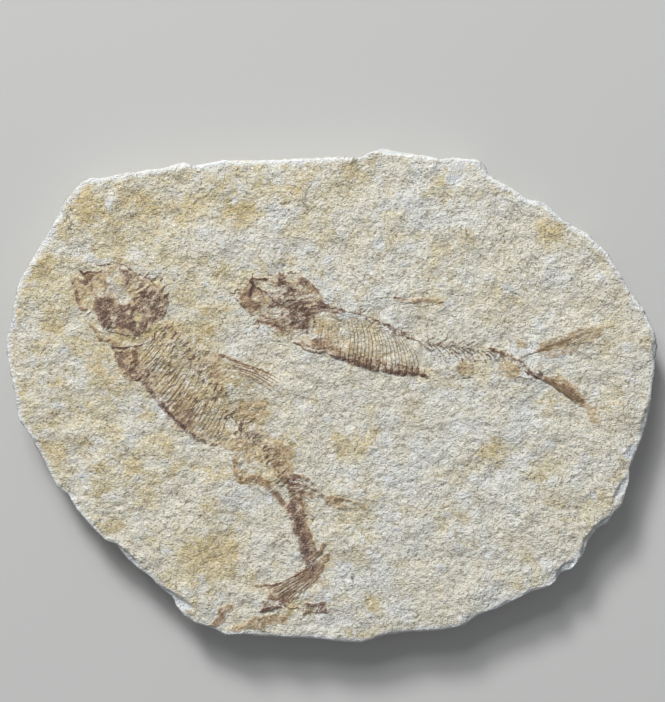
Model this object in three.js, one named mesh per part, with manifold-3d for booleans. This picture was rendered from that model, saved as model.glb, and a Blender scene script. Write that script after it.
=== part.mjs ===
// Fossil fish slab: a broken plate of pale limestone with two petrified fish lying side-on
// on its split upper face. Millimetres, +Z up, the fossil face on top and the flat back at
// Z = 0. The origin is the centre of the slab's footprint, and +X is its long direction.
import * as THREE from "three";
import { mergeVertices } from "three/addons/utils/BufferGeometryUtils.js";
import Module from "manifold-3d";

const wasm = await Module();
wasm.setup();

// ---- driving dimensions -------------------------------------------------------------------
const SLAB_LENGTH = 180;
const SLAB_WIDTH = 137;
const SLAB_THICKNESS = 11;
const FOSSIL_GAP = 0.3; // between the limestone face and the underside of a fossil
const FILM_HEIGHT = 0.3; // the skin and flesh, pressed to a dark film
const RAY_HEIGHT = 0.45; // fin rays
const RIB_HEIGHT = 0.55; // ribs and spines along the trunk
const BACKBONE_HEIGHT = 0.75;
const SKULL_HEIGHT = 0.7; // the crushed head plates
const JAW_HEIGHT = 0.85; // the jaws and the collar bone, the thickest bones of the head
const CHIP_DEPTH = 0.8; // how far the broken sides are chipped in
const HAIR = 0.25; // the width of the thinnest bones
const SCUTES = 14; // keeled scales along the right fish's belly
const SCUTE_SIZE = 2; // the height of each

const LIMESTONE = new THREE.MeshStandardMaterial({ color: 0xcfc6ad, roughness: 0.95 });
const FOSSIL_BONE = new THREE.MeshStandardMaterial({ color: 0x6b5445, roughness: 0.8 });

// ---- small helpers ------------------------------------------------------------------------
const points = (list) => list.map(([x, y]) => new THREE.Vector2(x, y));

/** A repeatable scatter between 0 and 1 for a pair of counting numbers. */
function scatter(a, b) {
  const s = Math.sin(a * 12.9898 + b * 78.233) * 43758.5453;
  return s - Math.floor(s);
}

/** A closed geometry as a solid that can be joined to others. */
function solid(geometry) {
  const bare = geometry.clone();
  bare.deleteAttribute("normal");
  bare.deleteAttribute("uv");
  const merged = mergeVertices(bare, 1e-4);
  return new wasm.Manifold(
    new wasm.Mesh({
      numProp: 3,
      vertProperties: merged.attributes.position.array,
      triVerts: new Uint32Array(merged.index.array),
    }),
  );
}

/** Joins solids that overlap into one geometry. */
function joined(solids) {
  const mesh = solids.reduce((all, next) => all.add(next)).getMesh();
  const geometry = new THREE.BufferGeometry();
  geometry.setAttribute("position", new THREE.BufferAttribute(mesh.vertProperties, 3));
  geometry.setIndex(new THREE.BufferAttribute(mesh.triVerts, 1));
  geometry.computeVertexNormals();
  return geometry;
}

/** A flat plate with that outline, lying on the fossil plane. */
function plate(outline, height) {
  const shape = new THREE.Shape(points(outline));
  return solid(new THREE.ExtrudeGeometry(shape, { depth: height, bevelEnabled: false }));
}

/** A bone or fin ray: a tapering strip along a smooth line through the given points. */
function strip(line, startWidth, endWidth, height, steps = 5) {
  const curve = new THREE.SplineCurve(points(line));
  const left = [];
  const right = [];
  for (let i = 0; i <= steps; i++) {
    const at = curve.getPoint(i / steps);
    const along = curve.getTangent(i / steps);
    const half = THREE.MathUtils.lerp(startWidth, endWidth, i / steps) / 2;
    const side = new THREE.Vector2(-along.y, along.x).multiplyScalar(half);
    left.push(at.clone().add(side));
    right.unshift(at.clone().sub(side));
  }
  const shape = new THREE.Shape([...left, ...right]);
  return solid(new THREE.ExtrudeGeometry(shape, { depth: height, bevelEnabled: false }));
}

/**
 * A row of slanting bones between two smooth lines: from a share of the first line to a share
 * of the second, each bowed sideways by `bow` millimetres at its middle.
 */
function boneRow(from, to, count, [fromStart, fromEnd], [toStart, toEnd], bow, height) {
  const a = new THREE.SplineCurve(points(from));
  const b = new THREE.SplineCurve(points(to));
  const row = [];
  for (let i = 0; i < count; i++) {
    const share = i / (count - 1);
    const root = a.getPoint(THREE.MathUtils.lerp(fromStart, fromEnd, share));
    const tip = b.getPoint(THREE.MathUtils.lerp(toStart, toEnd, share));
    const across = tip.clone().sub(root);
    const bend = new THREE.Vector2(-across.y, across.x).setLength(bow);
    const middle = root.clone().lerp(tip, 0.5).add(bend);
    const line = [root, middle, tip].map((p) => [p.x, p.y]);
    row.push(strip(line, HAIR * 1.9, HAIR * 1.3, height, 3));
  }
  return row;
}

/** A fan of fin rays from one straight root line to one straight tip line. */
function rayFan([rootA, rootB], [tipA, tipB], count, height) {
  const fan = [];
  for (let i = 0; i < count; i++) {
    const share = i / (count - 1);
    const at = (p, q, k) => THREE.MathUtils.lerp(p[k], q[k], share);
    const root = [at(rootA, rootB, 0), at(rootA, rootB, 1)];
    const tip = [at(tipA, tipB, 0), at(tipA, tipB, 1)];
    fan.push(strip([root, tip], HAIR * 1.8, HAIR, height, 1));
  }
  return fan;
}

// ---- the limestone slab -------------------------------------------------------------------
// The broken outline, anticlockwise from the right-hand end.
const SLAB_OUTLINE = [
  [89.9, 13.5], [89.2, 17], [86, 24], [83.5, 27.2], [80.5, 32], [78, 36], [75.5, 40],
  [70, 45], [67, 46.7], [64, 48.5], [61.5, 51], [58.5, 53.4], [54.5, 54], [49.5, 57.3],
  [45, 59.7], [43.4, 61.2], [42.2, 63.4], [40.3, 65], [34, 65.7], [30, 65.4], [26, 66.5],
  [20, 67.1], [17, 67.7], [13.7, 68.4], [10.5, 67.3], [8, 65.9], [0, 65.7], [-10, 65.2],
  [-24, 65], [-30, 64.9], [-34, 64], [-38.5, 63.4], [-41, 64.4], [-46.5, 62.7],
  [-50, 62.3], [-54, 61.4], [-58, 61.2], [-62, 60.3], [-66.5, 59.9], [-69.8, 58.2],
  [-73.8, 53.5], [-77.5, 46.5], [-80.3, 42], [-84.3, 35], [-86.9, 29.5], [-88.2, 24],
  [-89.8, 15.5], [-89.6, 11], [-88, 3], [-87, -2.5], [-86.4, -6.5], [-83, -11.5],
  [-80.5, -16.5], [-78, -21], [-76, -25], [-73, -27.2], [-70.2, -31.5], [-66, -36.5],
  [-62.5, -39.9], [-59.6, -40.8], [-56, -45.5], [-53, -47.8], [-50, -50], [-47, -53.5],
  [-44.5, -55.3], [-43.1, -58], [-41, -60.5], [-38, -62.5], [-33, -64.3], [-29.5, -66.2],
  [-25, -65.9], [-20, -66.2], [-12, -66.6], [-5, -67], [3, -67.9], [8, -68.2],
  [10.5, -67.5], [15, -66], [22, -65.2], [30, -64.6], [34.5, -64], [37, -62.9],
  [40, -60.8], [45, -58.8], [50, -56.5], [55, -54.3], [59.5, -52.7], [61.5, -51.5],
  [63.2, -49.1], [66.2, -47.7], [69.8, -43], [70.9, -40], [73, -37.1], [76.3, -34.8],
  [77.8, -32.2], [80, -30], [81.9, -23.8], [82.1, -20], [83.5, -16.5], [85.5, -12],
  [87, -8], [87.6, -4.5], [88.7, 5], [89.5, 10],
];

// The side's profile from the middle of the back, round the broken edge, to the middle of the
// face: how far in from the outline, how high, and how strongly the break is chipped there.
const SIDE_PROFILE = [
  { inset: Infinity, height: 0, chip: 0 },
  { inset: 2.6, height: 0, chip: 1 },
  { inset: 1.2, height: 0.2, chip: 1 },
  { inset: 0.4, height: 0.45, chip: 0.8 },
  { inset: 0.1, height: 0.7, chip: 0.5 },
  { inset: 0, height: 0.86, chip: 0.3 },
  { inset: 0.4, height: 0.95, chip: 0.4 },
  { inset: 1.3, height: 1, chip: 0.8 },
  { inset: Infinity, height: 1, chip: 0 },
];

/** The slab: a lathed disc whose rings are pushed out to the broken outline and chipped. */
function slabGeometry() {
  const rings = SIDE_PROFILE.length;
  const profile = SIDE_PROFILE.map(
    ({ inset, height }) => new THREE.Vector2(Number.isFinite(inset) ? 1 : 0, height),
  );
  const disc = new THREE.LatheGeometry(profile, SLAB_OUTLINE.length);
  const place = disc.attributes.position;
  for (let v = 0; v < place.count; v++) {
    const spoke = Math.floor(v / rings) % SLAB_OUTLINE.length;
    const ring = v % rings;
    const { inset, height, chip } = SIDE_PROFILE[ring];
    const edge = new THREE.Vector2(...SLAB_OUTLINE[spoke]);
    const reach = edge.length();
    const cut = inset + chip * CHIP_DEPTH * scatter(spoke, ring);
    edge.setLength(Math.max(0, reach - cut));
    place.setXYZ(v, edge.x, edge.y, height * SLAB_THICKNESS);
  }
  disc.deleteAttribute("normal");
  disc.deleteAttribute("uv");
  const geometry = mergeVertices(disc, 1e-4);
  geometry.computeBoundingBox();
  const { min, max } = geometry.boundingBox;
  geometry.translate(-(min.x + max.x) / 2, -(min.y + max.y) / 2, 0);
  geometry.scale(SLAB_LENGTH / (max.x - min.x), SLAB_WIDTH / (max.y - min.y), 1);
  return geometry;
}

// ---- the left fish: head up and to the left, tail at the lower edge ------------------------
const LEFT_FILM = [
  [-71, 31.5], [-69.6, 34.3], [-66.5, 33.8], [-63.5, 34.5], [-60, 36], [-57.5, 35.8],
  [-54, 33.8], [-51.5, 32.4], [-47, 29], [-45.6, 27], [-45.4, 25], [-46, 22.5],
  [-47.5, 21.2], [-44, 20.2], [-40, 18.5], [-38, 15.5], [-36, 13], [-33, 11.7],
  [-28, 10.3], [-26.5, 7], [-25, 5], [-22, 3.5], [-19, 1], [-17, -4], [-17.5, -5.8],
  [-19, -8], [-18, -10.5], [-14, -13], [-11.5, -13.4], [-10.3, -15], [-9.5, -17],
  [-10.6, -19.5], [-10, -22], [-8, -22], [-6, -23], [-4.5, -24.5], [-2, -27.6],
  [2, -28.3], [5, -29.2], [8, -30], [9.5, -31.3], [6, -31.1], [2, -30.6], [-1, -29.5],
  [-5, -27.7], [-8.5, -26.8], [-9.4, -27.8], [-8.5, -30], [-8, -33], [-7, -36],
  [-5, -40.6], [-4.4, -42.6], [-3.4, -42], [-2, -40.4], [-0.8, -42.8], [-0.5, -45],
  [-2.4, -46.8], [-3.2, -49.5], [-5, -51.3], [-8, -52.5], [-9.5, -56], [-12, -57.3],
  [-16, -56.5], [-18.5, -55.5], [-21, -52.4], [-15, -51.7], [-12, -50.8], [-9, -49.3],
  [-6.9, -47.3], [-7.3, -43.5], [-9.3, -38], [-11.8, -32.4], [-13, -31], [-16, -27.4],
  [-18.4, -24.7], [-20, -23.4], [-22, -23], [-24.3, -24.4], [-26.4, -22], [-27.1, -17.5],
  [-27.6, -15.2], [-32.5, -13.8], [-37, -12.4], [-40, -10.2], [-43, -7.4], [-46, -4.1],
  [-49, -0.3], [-51.5, 2.7], [-54.5, 6.2], [-57.4, 7.9], [-58.8, 11.5], [-60.6, 13.2],
  [-61.5, 15], [-63.5, 15.2], [-65.6, 18], [-67, 20], [-67.2, 22.6], [-69.8, 24],
  [-70.6, 27.5],
];
const LEFT_SPINE = [
  [-47, 19.5], [-44, 16.5], [-40, 10], [-34.5, 4], [-31.5, -0.5], [-28, -5.5], [-23.5, -11],
  [-19, -15], [-16, -19.5], [-13, -23.5], [-10.5, -28], [-9.5, -33], [-8, -39], [-5.5, -45],
];
const LEFT_BELLY = [
  [-56, 7.6], [-53, 4.7], [-50, 1.1], [-46, -3.6], [-43, -6.8], [-40, -9.6], [-37, -11.8],
  [-32, -13.3], [-28.4, -14.8],
];
const LEFT_BACK = [
  [-45, 19.8], [-40.8, 18], [-37, 13.6], [-33, 11], [-28.6, 9.6], [-25.6, 4.8], [-20, 1],
  [-18, -4], [-19, -9.4], [-15, -12.6], [-10.8, -16], [-10.8, -21],
];
const LEFT_DORSAL_FIN = [
  [-33.5, 11.2], [-31, 11.3], [-28, 10.6], [-24, 8.8], [-20, 7.3], [-16, 6.2], [-14.3, 4.2],
  [-17, 2], [-21, 3.8], [-27, 7.4],
];
const LEFT_GILL_COVER = [
  [-57, 20.4], [-51, 21.6], [-47, 22], [-50, 18.8], [-53, 16.9], [-56.6, 18.4],
];
const LEFT_CHEEK = [[-57, 31.8], [-53.4, 30.4], [-50.4, 27.6], [-53.8, 25.2], [-57.4, 27.8]];
const LEFT_REAR_BAND = [[-24.6, -23.2], [-20, -22.7], [-17, -25.4], [-14, -28.6], [-12, -31.8]];

/** The left fish: body film, crushed skull, backbone, ribs, spines and fins, in one piece. */
function leftFish() {
  return joined([
    plate(LEFT_FILM, FILM_HEIGHT),
    plate(LEFT_DORSAL_FIN, FILM_HEIGHT),
    // skull roof, snout, jaw and gill cover
    strip([[-64, 34], [-60, 35.2], [-56, 34], [-51.5, 31.3], [-47.6, 28]], 1.5, 1.9, SKULL_HEIGHT),
    strip([[-69.6, 33.6], [-67, 32.8], [-63.4, 33.8]], 1, 1.2, SKULL_HEIGHT),
    strip([[-70.2, 31.2], [-69.6, 27.5], [-68.4, 24.2]], 1.4, 1.7, JAW_HEIGHT),
    strip([[-66, 24.8], [-63.4, 20], [-60, 19], [-60.6, 27]], 1.6, 1.4, SKULL_HEIGHT, 10),
    plate(LEFT_GILL_COVER, SKULL_HEIGHT),
    plate(LEFT_CHEEK, SKULL_HEIGHT),
    strip([[-57.4, 13.2], [-53, 13.9], [-50, 15], [-48, 18.4]], 0.9, 1.3, JAW_HEIGHT, 8),
    strip([[-66, 18.8], [-63.6, 16], [-61.2, 15], [-58.2, 12.4]], 0.9, 0.8, RIB_HEIGHT),
    plate([[-57.6, 12], [-53.8, 12.4], [-53.4, 10.4], [-57.2, 9]], RIB_HEIGHT),
    // pectoral and pelvic fins
    strip([[-59.8, 11.9], [-58.4, 8.4], [-55.6, 4.4]], 0.9, 0.4, RAY_HEIGHT),
    ...rayFan([[-46.4, -3.2], [-44, -6]], [[-45.8, -6.4], [-42.8, -9.8]], 4, RAY_HEIGHT),
    // trunk
    strip(LEFT_SPINE, 1.3, 1.1, BACKBONE_HEIGHT, 28),
    ...boneRow(LEFT_SPINE, LEFT_BELLY, 22, [0.02, 0.4], [0, 0.97], -0.7, RIB_HEIGHT),
    ...boneRow(LEFT_SPINE, LEFT_BACK, 22, [0, 0.6], [0.1, 0.98], 0.4, RIB_HEIGHT),
    strip(LEFT_BELLY, 0.7, 0.9, RIB_HEIGHT, 12),
    strip(LEFT_REAR_BAND, 1.6, 1.4, RIB_HEIGHT, 8),
    // dorsal, anal and tail fins
    ...rayFan([[-31.5, 10.8], [-28, 6.6]], [[-15, 5.6], [-17.6, 2.4]], 7, RAY_HEIGHT),
    ...rayFan([[-9.6, -23], [-8.6, -25.8]], [[-2.8, -26.8], [-3.6, -27.2]], 4, RAY_HEIGHT),
    strip([[-6.4, -45.6], [-4.2, -43.6], [-2.2, -41.4]], 0.8, 0.4, RAY_HEIGHT),
    ...rayFan([[-6.4, -47], [-4.6, -48]], [[-19.6, -52.8], [-12.4, -56.6]], 8, RAY_HEIGHT),
  ]);
}

// ---- the right fish: head to the left, lying almost level ----------------------------------
const RIGHT_FILM = [
  [-26, 29.5], [-24, 30.6], [-21.8, 33.4], [-18, 33], [-14.5, 33.7], [-10.5, 34], [-9.6, 32.4],
  [-6.8, 32], [-4.3, 29.7], [-2.7, 27], [-0.5, 25.6], [5, 23.7], [9, 23], [13, 20.9],
  [17, 18.8], [20, 17.1], [24, 16.6], [28, 15.1], [33, 14.7], [40, 14], [46, 12.9],
  [51, 11.2], [53.5, 13.2], [58, 14.4], [65, 16.6], [71, 18.6], [77, 19.6], [74, 18],
  [68, 15.4], [62, 12.4], [56.6, 9.8], [57, 7.2], [60, 5.6], [63, 4.8], [66, 2.4],
  [69, -0.8], [71.5, -3], [72.8, -5.6], [72.6, -7.6], [70.4, -5], [67, -2.2], [62, 2],
  [58, 4.4], [54, 5.6], [50.4, 4.4], [49.6, 7], [46, 5.4], [45, 9.4], [40, 12.2],
  [38.8, 7.2], [38.4, 5], [35.6, 5], [33.6, 8], [31.5, 12], [27, 12], [26.4, 5.2],
  [22, 5.5], [14, 6.6], [8, 7.9], [2, 10], [-4, 11.7], [-7.5, 12.3], [-10.5, 14.6],
  [-14.5, 15.9], [-17, 17.9], [-20.5, 18.9], [-22, 20.4], [-22.4, 23], [-25, 25.4],
];
const RIGHT_SPINE = [
  [-3, 24.6], [1, 23.9], [5, 22.7], [9, 22.1], [13, 20], [17, 18], [20, 16.4], [26, 15],
  [33, 14], [40, 13], [46, 12], [51, 9.8],
];
const RIGHT_BELLY = [
  [-4, 12.4], [-1, 11.4], [4, 9.8], [8, 8.3], [14, 7], [20, 6.1], [26.4, 5.5],
];
const RIGHT_GILL_COVER = [
  [-10.8, 24.8], [-6, 25.8], [-2.6, 25], [-5.4, 21], [-8, 17.8], [-11.6, 18.4],
];
const RIGHT_UPPER_LOBE = [[51.6, 10.6], [56, 12.2], [63, 14.9], [70, 17.4], [76, 19.2]];
const RIGHT_LOWER_LOBE = [[51.6, 8], [56, 6.2], [62, 3.2], [67, -1], [71.4, -5]];

/** The row of keeled scales that points up from the belly line of the right fish. */
function bellyScutes() {
  const belly = new THREE.SplineCurve(points(RIGHT_BELLY));
  const [first, last] = [0.1, 0.9];
  return Array.from({ length: SCUTES }, (_, i) => {
    const foot = belly.getPoint(THREE.MathUtils.lerp(first, last, i / (SCUTES - 1)));
    const tip = [foot.x - SCUTE_SIZE / 4, foot.y + SCUTE_SIZE];
    return strip([[foot.x, foot.y], tip], SCUTE_SIZE / 2, HAIR, RIB_HEIGHT, 1);
  });
}

/** The right fish, in one piece. */
function rightFish() {
  return joined([
    plate(RIGHT_FILM, FILM_HEIGHT),
    // skull roof, snout, jaws and gill cover
    strip([[-22, 32.4], [-18, 32.3], [-14.5, 32.9], [-11, 33.2]], 1.2, 1.5, SKULL_HEIGHT),
    strip([[-9.6, 31.4], [-6.8, 31], [-4.8, 29], [-3.4, 27]], 1.3, 1.5, SKULL_HEIGHT),
    strip([[-25.2, 28.8], [-24.2, 25.4], [-22.2, 22.8]], 1, 1.2, JAW_HEIGHT),
    strip([[-19.5, 30], [-16.5, 27], [-13, 24.5]], 0.9, 1.2, JAW_HEIGHT),
    plate(RIGHT_GILL_COVER, SKULL_HEIGHT),
    strip([[-20.5, 21.2], [-16, 19.4], [-13, 18], [-11, 17.6]], 1.2, 1, JAW_HEIGHT),
    plate([[-5, 15.7], [0, 15.2], [-1, 13], [-4, 12.6], [-5.4, 13.6]], RIB_HEIGHT),
    strip([[-3.8, 21.6], [-5, 19.6], [-5.2, 17]], 0.9, 0.8, RIB_HEIGHT),
    // trunk
    strip(RIGHT_SPINE, 1.2, 0.9, BACKBONE_HEIGHT, 24),
    ...boneRow(RIGHT_SPINE, RIGHT_BELLY, 20, [0.11, 0.6], [0.24, 0.99], 0.7, RIB_HEIGHT),
    ...boneRow(RIGHT_SPINE, RIGHT_BELLY, 4, [0.02, 0.1], [0.06, 0.2], 0.2, RIB_HEIGHT),
    strip(RIGHT_BELLY, 1.1, 1.1, RIB_HEIGHT, 12),
    ...bellyScutes(),
    ...rayFan([[33.8, 11.6], [36.4, 10.8]], [[36, 5.2], [38.2, 5.2]], 4, RAY_HEIGHT),
    // tail
    strip([[49.8, 9.8], [53, 6.8]], 0.8, 0.6, RIB_HEIGHT, 1),
    strip([[50.2, 5], [54, 5.2]], 0.7, 0.6, RIB_HEIGHT, 1),
    strip(RIGHT_UPPER_LOBE, 1, 0.4, RAY_HEIGHT, 8),
    strip(RIGHT_LOWER_LOBE, 1, 0.8, RAY_HEIGHT, 8),
    ...rayFan([[53, 10.6], [54.4, 9.4]], [[66, 15.6], [62.4, 13]], 4, RAY_HEIGHT),
    ...rayFan([[54, 6.6], [54.6, 7.4]], [[66.6, 0.8], [66, 2]], 3, RAY_HEIGHT),
  ]);
}

// ---- loose fragments ----------------------------------------------------------------------
const LOOSE_FIN = [
  [16.6, 26.9], [21, 26.7], [26, 26.6], [31, 26.1], [30.6, 25.4], [25, 25.1], [20.8, 25.8],
];

/** The right fish's dorsal fin, which lies apart from its back. */
function looseFin() {
  return joined([
    plate(LOOSE_FIN, FILM_HEIGHT),
    strip([[17, 26.7], [21, 26.2], [26, 25.8], [30.6, 25.8]], 0.3, 0.5, RAY_HEIGHT, 6),
  ]);
}

/** A dark fragment that lies below the left fish's tail. */
function tailScrap(outline, ridge) {
  return joined([plate(outline, FILM_HEIGHT), strip(ridge, 0.9, 0.5, SKULL_HEIGHT, 4)]);
}

const LEFT_SCRAP = [
  [-20.3, -59.6], [-19, -58.5], [-18.4, -57.9], [-16, -57.8], [-13, -58.3], [-14.8, -59.2],
  [-18, -59.9],
];
const RIGHT_SCRAP = [
  [-8.2, -58.6], [-6, -57.4], [-3, -57.3], [-2, -56.6], [-1.9, -58.4], [-1, -59.5],
  [-4, -59.7], [-7.6, -60.7], [-8.2, -60.2],
];

// ---- the object ---------------------------------------------------------------------------
/** Adds one named piece to the group, with its underside at that height. */
function addPiece(group, name, geometry, material, bottom) {
  const mesh = new THREE.Mesh(geometry, material);
  mesh.name = name;
  mesh.position.z = bottom;
  group.add(mesh);
}

const group = new THREE.Group();
const FOSSIL_PLANE = SLAB_THICKNESS + FOSSIL_GAP;
addPiece(group, "limestone_slab", slabGeometry(), LIMESTONE, 0);
addPiece(group, "left_fish", leftFish(), FOSSIL_BONE, FOSSIL_PLANE);
addPiece(group, "right_fish", rightFish(), FOSSIL_BONE, FOSSIL_PLANE);
addPiece(group, "right_fish_dorsal_fin", looseFin(), FOSSIL_BONE, FOSSIL_PLANE);
addPiece(
  group,
  "tail_scrap_left",
  tailScrap(LEFT_SCRAP, [[-19.6, -59.3], [-17.4, -58.8], [-14, -58.5]]),
  FOSSIL_BONE,
  FOSSIL_PLANE,
);
addPiece(
  group,
  "tail_scrap_right",
  tailScrap(RIGHT_SCRAP, [[-7.4, -59.8], [-5, -58.6], [-2.4, -58.4]]),
  FOSSIL_BONE,
  FOSSIL_PLANE,
);

export default group;
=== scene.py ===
"""Looks for a fossil fish slab: a plate of cream limestone with two petrified fish on its face.

The slab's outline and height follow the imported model. The split face, the broken sides, the
films of fossil skin and the bones are modelled here. Lengths in the classes are millimetres in
the model's own frame, and become metres where a mesh is made.
"""

import logging
import math
import random
from collections.abc import Callable, Iterable, Sequence
from dataclasses import dataclass, field
from enum import Enum

import bmesh
import bpy
import numpy as np
from bpy.types import Material, NodeSocket, NodeTree, Object
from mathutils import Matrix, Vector, noise
from mathutils.bvhtree import BVHTree


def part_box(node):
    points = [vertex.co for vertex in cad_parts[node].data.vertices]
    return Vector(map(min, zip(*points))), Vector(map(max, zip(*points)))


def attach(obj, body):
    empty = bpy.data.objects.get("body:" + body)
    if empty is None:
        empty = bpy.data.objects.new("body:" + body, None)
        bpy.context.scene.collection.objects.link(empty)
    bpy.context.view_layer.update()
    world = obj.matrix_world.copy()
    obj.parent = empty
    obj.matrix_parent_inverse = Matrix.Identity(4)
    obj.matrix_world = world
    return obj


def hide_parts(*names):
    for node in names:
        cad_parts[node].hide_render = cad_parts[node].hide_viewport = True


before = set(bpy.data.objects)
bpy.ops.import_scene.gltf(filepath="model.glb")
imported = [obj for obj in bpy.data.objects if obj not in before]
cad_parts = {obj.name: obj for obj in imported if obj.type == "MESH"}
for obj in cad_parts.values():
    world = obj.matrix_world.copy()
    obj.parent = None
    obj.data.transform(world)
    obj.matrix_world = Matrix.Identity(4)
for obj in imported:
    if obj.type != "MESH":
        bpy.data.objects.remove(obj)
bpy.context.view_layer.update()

MM = 0.001
BODY = "root"
FOSSIL_SLOT = "fossil_bone"
LOG = logging.getLogger("fossil_slab")

Point = tuple[float, float]
Patch = tuple[float, float, float, float]
Line = Sequence[Point]


# ---- small helpers --------------------------------------------------------------------------
def linear(hex_colour: str) -> tuple[float, float, float, float]:
    """Turns an sRGB hex colour to linear light.

    Args:
        hex_colour: The colour as "#rrggbb".

    Returns:
        Red, green, blue and alpha, from 0 to 1.
    """
    channels = [int(hex_colour[i : i + 2], 16) / 255 for i in (1, 3, 5)]
    light = [c / 12.92 if c <= 0.04045 else ((c + 0.055) / 1.055) ** 2.4 for c in channels]
    return (*light, 1.0)


def add(
    tree: NodeTree, kind: str, settings: dict | None = None, inputs: dict | None = None,
    output: str | int = 0,
) -> NodeSocket:
    """Adds a shader node and gives back one of its outputs.

    Args:
        tree: The material's node tree.
        kind: The node's type name.
        settings: Values for the node's own properties.
        inputs: Values or sockets for its inputs, by name or number.
        output: The output wanted, by name or number.

    Returns:
        That output.
    """
    node = tree.nodes.new(kind)
    for name, value in (settings or {}).items():
        setattr(node, name, value)
    for name, value in (inputs or {}).items():
        if isinstance(value, NodeSocket):
            tree.links.new(value, node.inputs[name])
        else:
            node.inputs[name].default_value = value
    return node.outputs[output]


def smooth(low: float, high: float, value: np.ndarray) -> np.ndarray:
    """An S-shaped step from 0 at low to 1 at high."""
    t = np.clip((value - low) / (high - low), 0, 1)
    return t * t * (3 - 2 * t)


def wobble(points: np.ndarray, size: float, seed: float) -> np.ndarray:
    """Smooth noise between about -1 and 1 at each point.

    Args:
        points: Plan positions in millimetres, one a row.
        size: The width of one lump, in millimetres.
        seed: Picks another sheet of the same noise.

    Returns:
        One value for each point.
    """
    return np.array([noise.noise(Vector((x / size, y / size, seed))) for x, y in points])


def new_object(name: str, maker: bmesh.types.BMesh, finish: Material) -> Object:
    """Writes a bmesh to a new smooth-shaded object at the origin and frees it.

    Args:
        name: The object's name.
        maker: Its mesh.
        finish: Its material.

    Returns:
        The object.
    """
    mesh = bpy.data.meshes.new(name)
    maker.to_mesh(mesh)
    maker.free()
    mesh.shade_smooth()
    mesh.materials.append(finish)
    piece = bpy.data.objects.new(name, mesh)
    bpy.context.scene.collection.objects.link(piece)
    return piece


def enlist(piece: Object, slot: str, *nodes: str) -> None:
    """Rides a piece on the slab's body, hides the CAD nodes that it replaces and logs its faces.

    Args:
        piece: The piece.
        slot: A material slot name; not used.
        nodes: The CAD nodes that it replaces.
    """
    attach(piece, BODY)
    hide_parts(*nodes)
    LOG.info("%s: %d faces", piece.name, len(piece.data.polygons))


# ---- finishes -------------------------------------------------------------------------------
RGBA = {"data_type": "RGBA"}
SMOOTH_STEP = {"interpolation_type": "SMOOTHSTEP"}
SHEEN = 0.2
Relief = Sequence[tuple[float, float]]


@dataclass(frozen=True)
class Fleck:
    """One colour that comes and goes over a surface, in lumps about size_mm wide.

    The lumps show where noise, plus the gain times a value stored on the mesh, rises from low
    to high. A stretch squeezes the lumps along an axis.
    """

    colour: str
    size_mm: float
    low: float
    high: float
    strength: float = 1.0
    painted: str = ""
    gain: float = 1.0
    detail: float = 4.0
    stretch: tuple[float, float, float] = (1.0, 1.0, 1.0)
    ragged: float = 0.62

    def over(self, tree: NodeTree, where: NodeSocket, under: NodeSocket) -> NodeSocket:
        """Lays the colour over another.

        Args:
            tree: The material's node tree.
            where: The object's own coordinates.
            under: The colour below.

        Returns:
            The mixed colour.
        """
        scale = [s / (self.size_mm * MM) for s in self.stretch]
        spot = add(tree, "ShaderNodeVectorMath", {"operation": "MULTIPLY"}, {0: where, 1: scale})
        inputs = {
            "Vector": spot, "Scale": 1.0, "Detail": self.detail, "Roughness": self.ragged,
        }
        level = add(tree, "ShaderNodeTexNoise", inputs=inputs, output="Fac")
        if self.painted:
            source = {"attribute_name": self.painted}
            stored = add(tree, "ShaderNodeAttribute", source, output="Fac")
            inputs = {0: stored, 1: self.gain, 2: level}
            level = add(tree, "ShaderNodeMath", {"operation": "MULTIPLY_ADD"}, inputs)
        inputs = {
            "Value": level, "From Min": self.low, "From Max": self.high, "To Max": self.strength,
        }
        amount = add(tree, "ShaderNodeMapRange", SMOOTH_STEP, inputs, "Result")
        return add(tree, "ShaderNodeMix", RGBA, {0: amount, 6: under, 7: linear(self.colour)}, 2)


@dataclass(frozen=True)
class CrackShade:
    """Fine cracks drawn as painted shade: dark lines that wander over the split face in short runs."""

    colour: str = "#6c6250"
    size_mm: float = 9.0
    width: float = 0.007
    run_mm: float = 14.0
    run_low: float = 0.56
    strength: float = 0.75
    run_fade: float = 0.06

    def share(self, tree: NodeTree, where: NodeSocket) -> NodeSocket:
        """How much of a crack is at each spot: where a slow noise crosses its middle.

        Args:
            tree: The material's node tree.
            where: The object's own coordinates.

        Returns:
            The share, from 0 to the strength.
        """
        inputs = {
            "Vector": where, "Scale": 1 / (self.size_mm * MM), "Detail": 3.0, "Distortion": 0.6,
        }
        level = add(tree, "ShaderNodeTexNoise", inputs=inputs, output="Fac")
        away = add(tree, "ShaderNodeMath", {"operation": "SUBTRACT"}, {0: level, 1: 0.5})
        away = add(tree, "ShaderNodeMath", {"operation": "ABSOLUTE"}, {0: away})
        inputs = {"Value": away, "From Min": self.width, "From Max": 0.0, "To Max": self.strength}
        line = add(tree, "ShaderNodeMapRange", inputs=inputs, output="Result")
        inputs = {"Vector": where, "Scale": 1 / (self.run_mm * MM), "Detail": 2.0}
        run = add(tree, "ShaderNodeTexNoise", inputs=inputs, output="Fac")
        run_full = self.run_low + self.run_fade
        inputs = {"Value": run, "From Min": self.run_low, "From Max": run_full}
        shown = add(tree, "ShaderNodeMapRange", inputs=inputs, output="Result")
        return add(tree, "ShaderNodeMath", {"operation": "MULTIPLY"}, {0: line, 1: shown})


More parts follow.
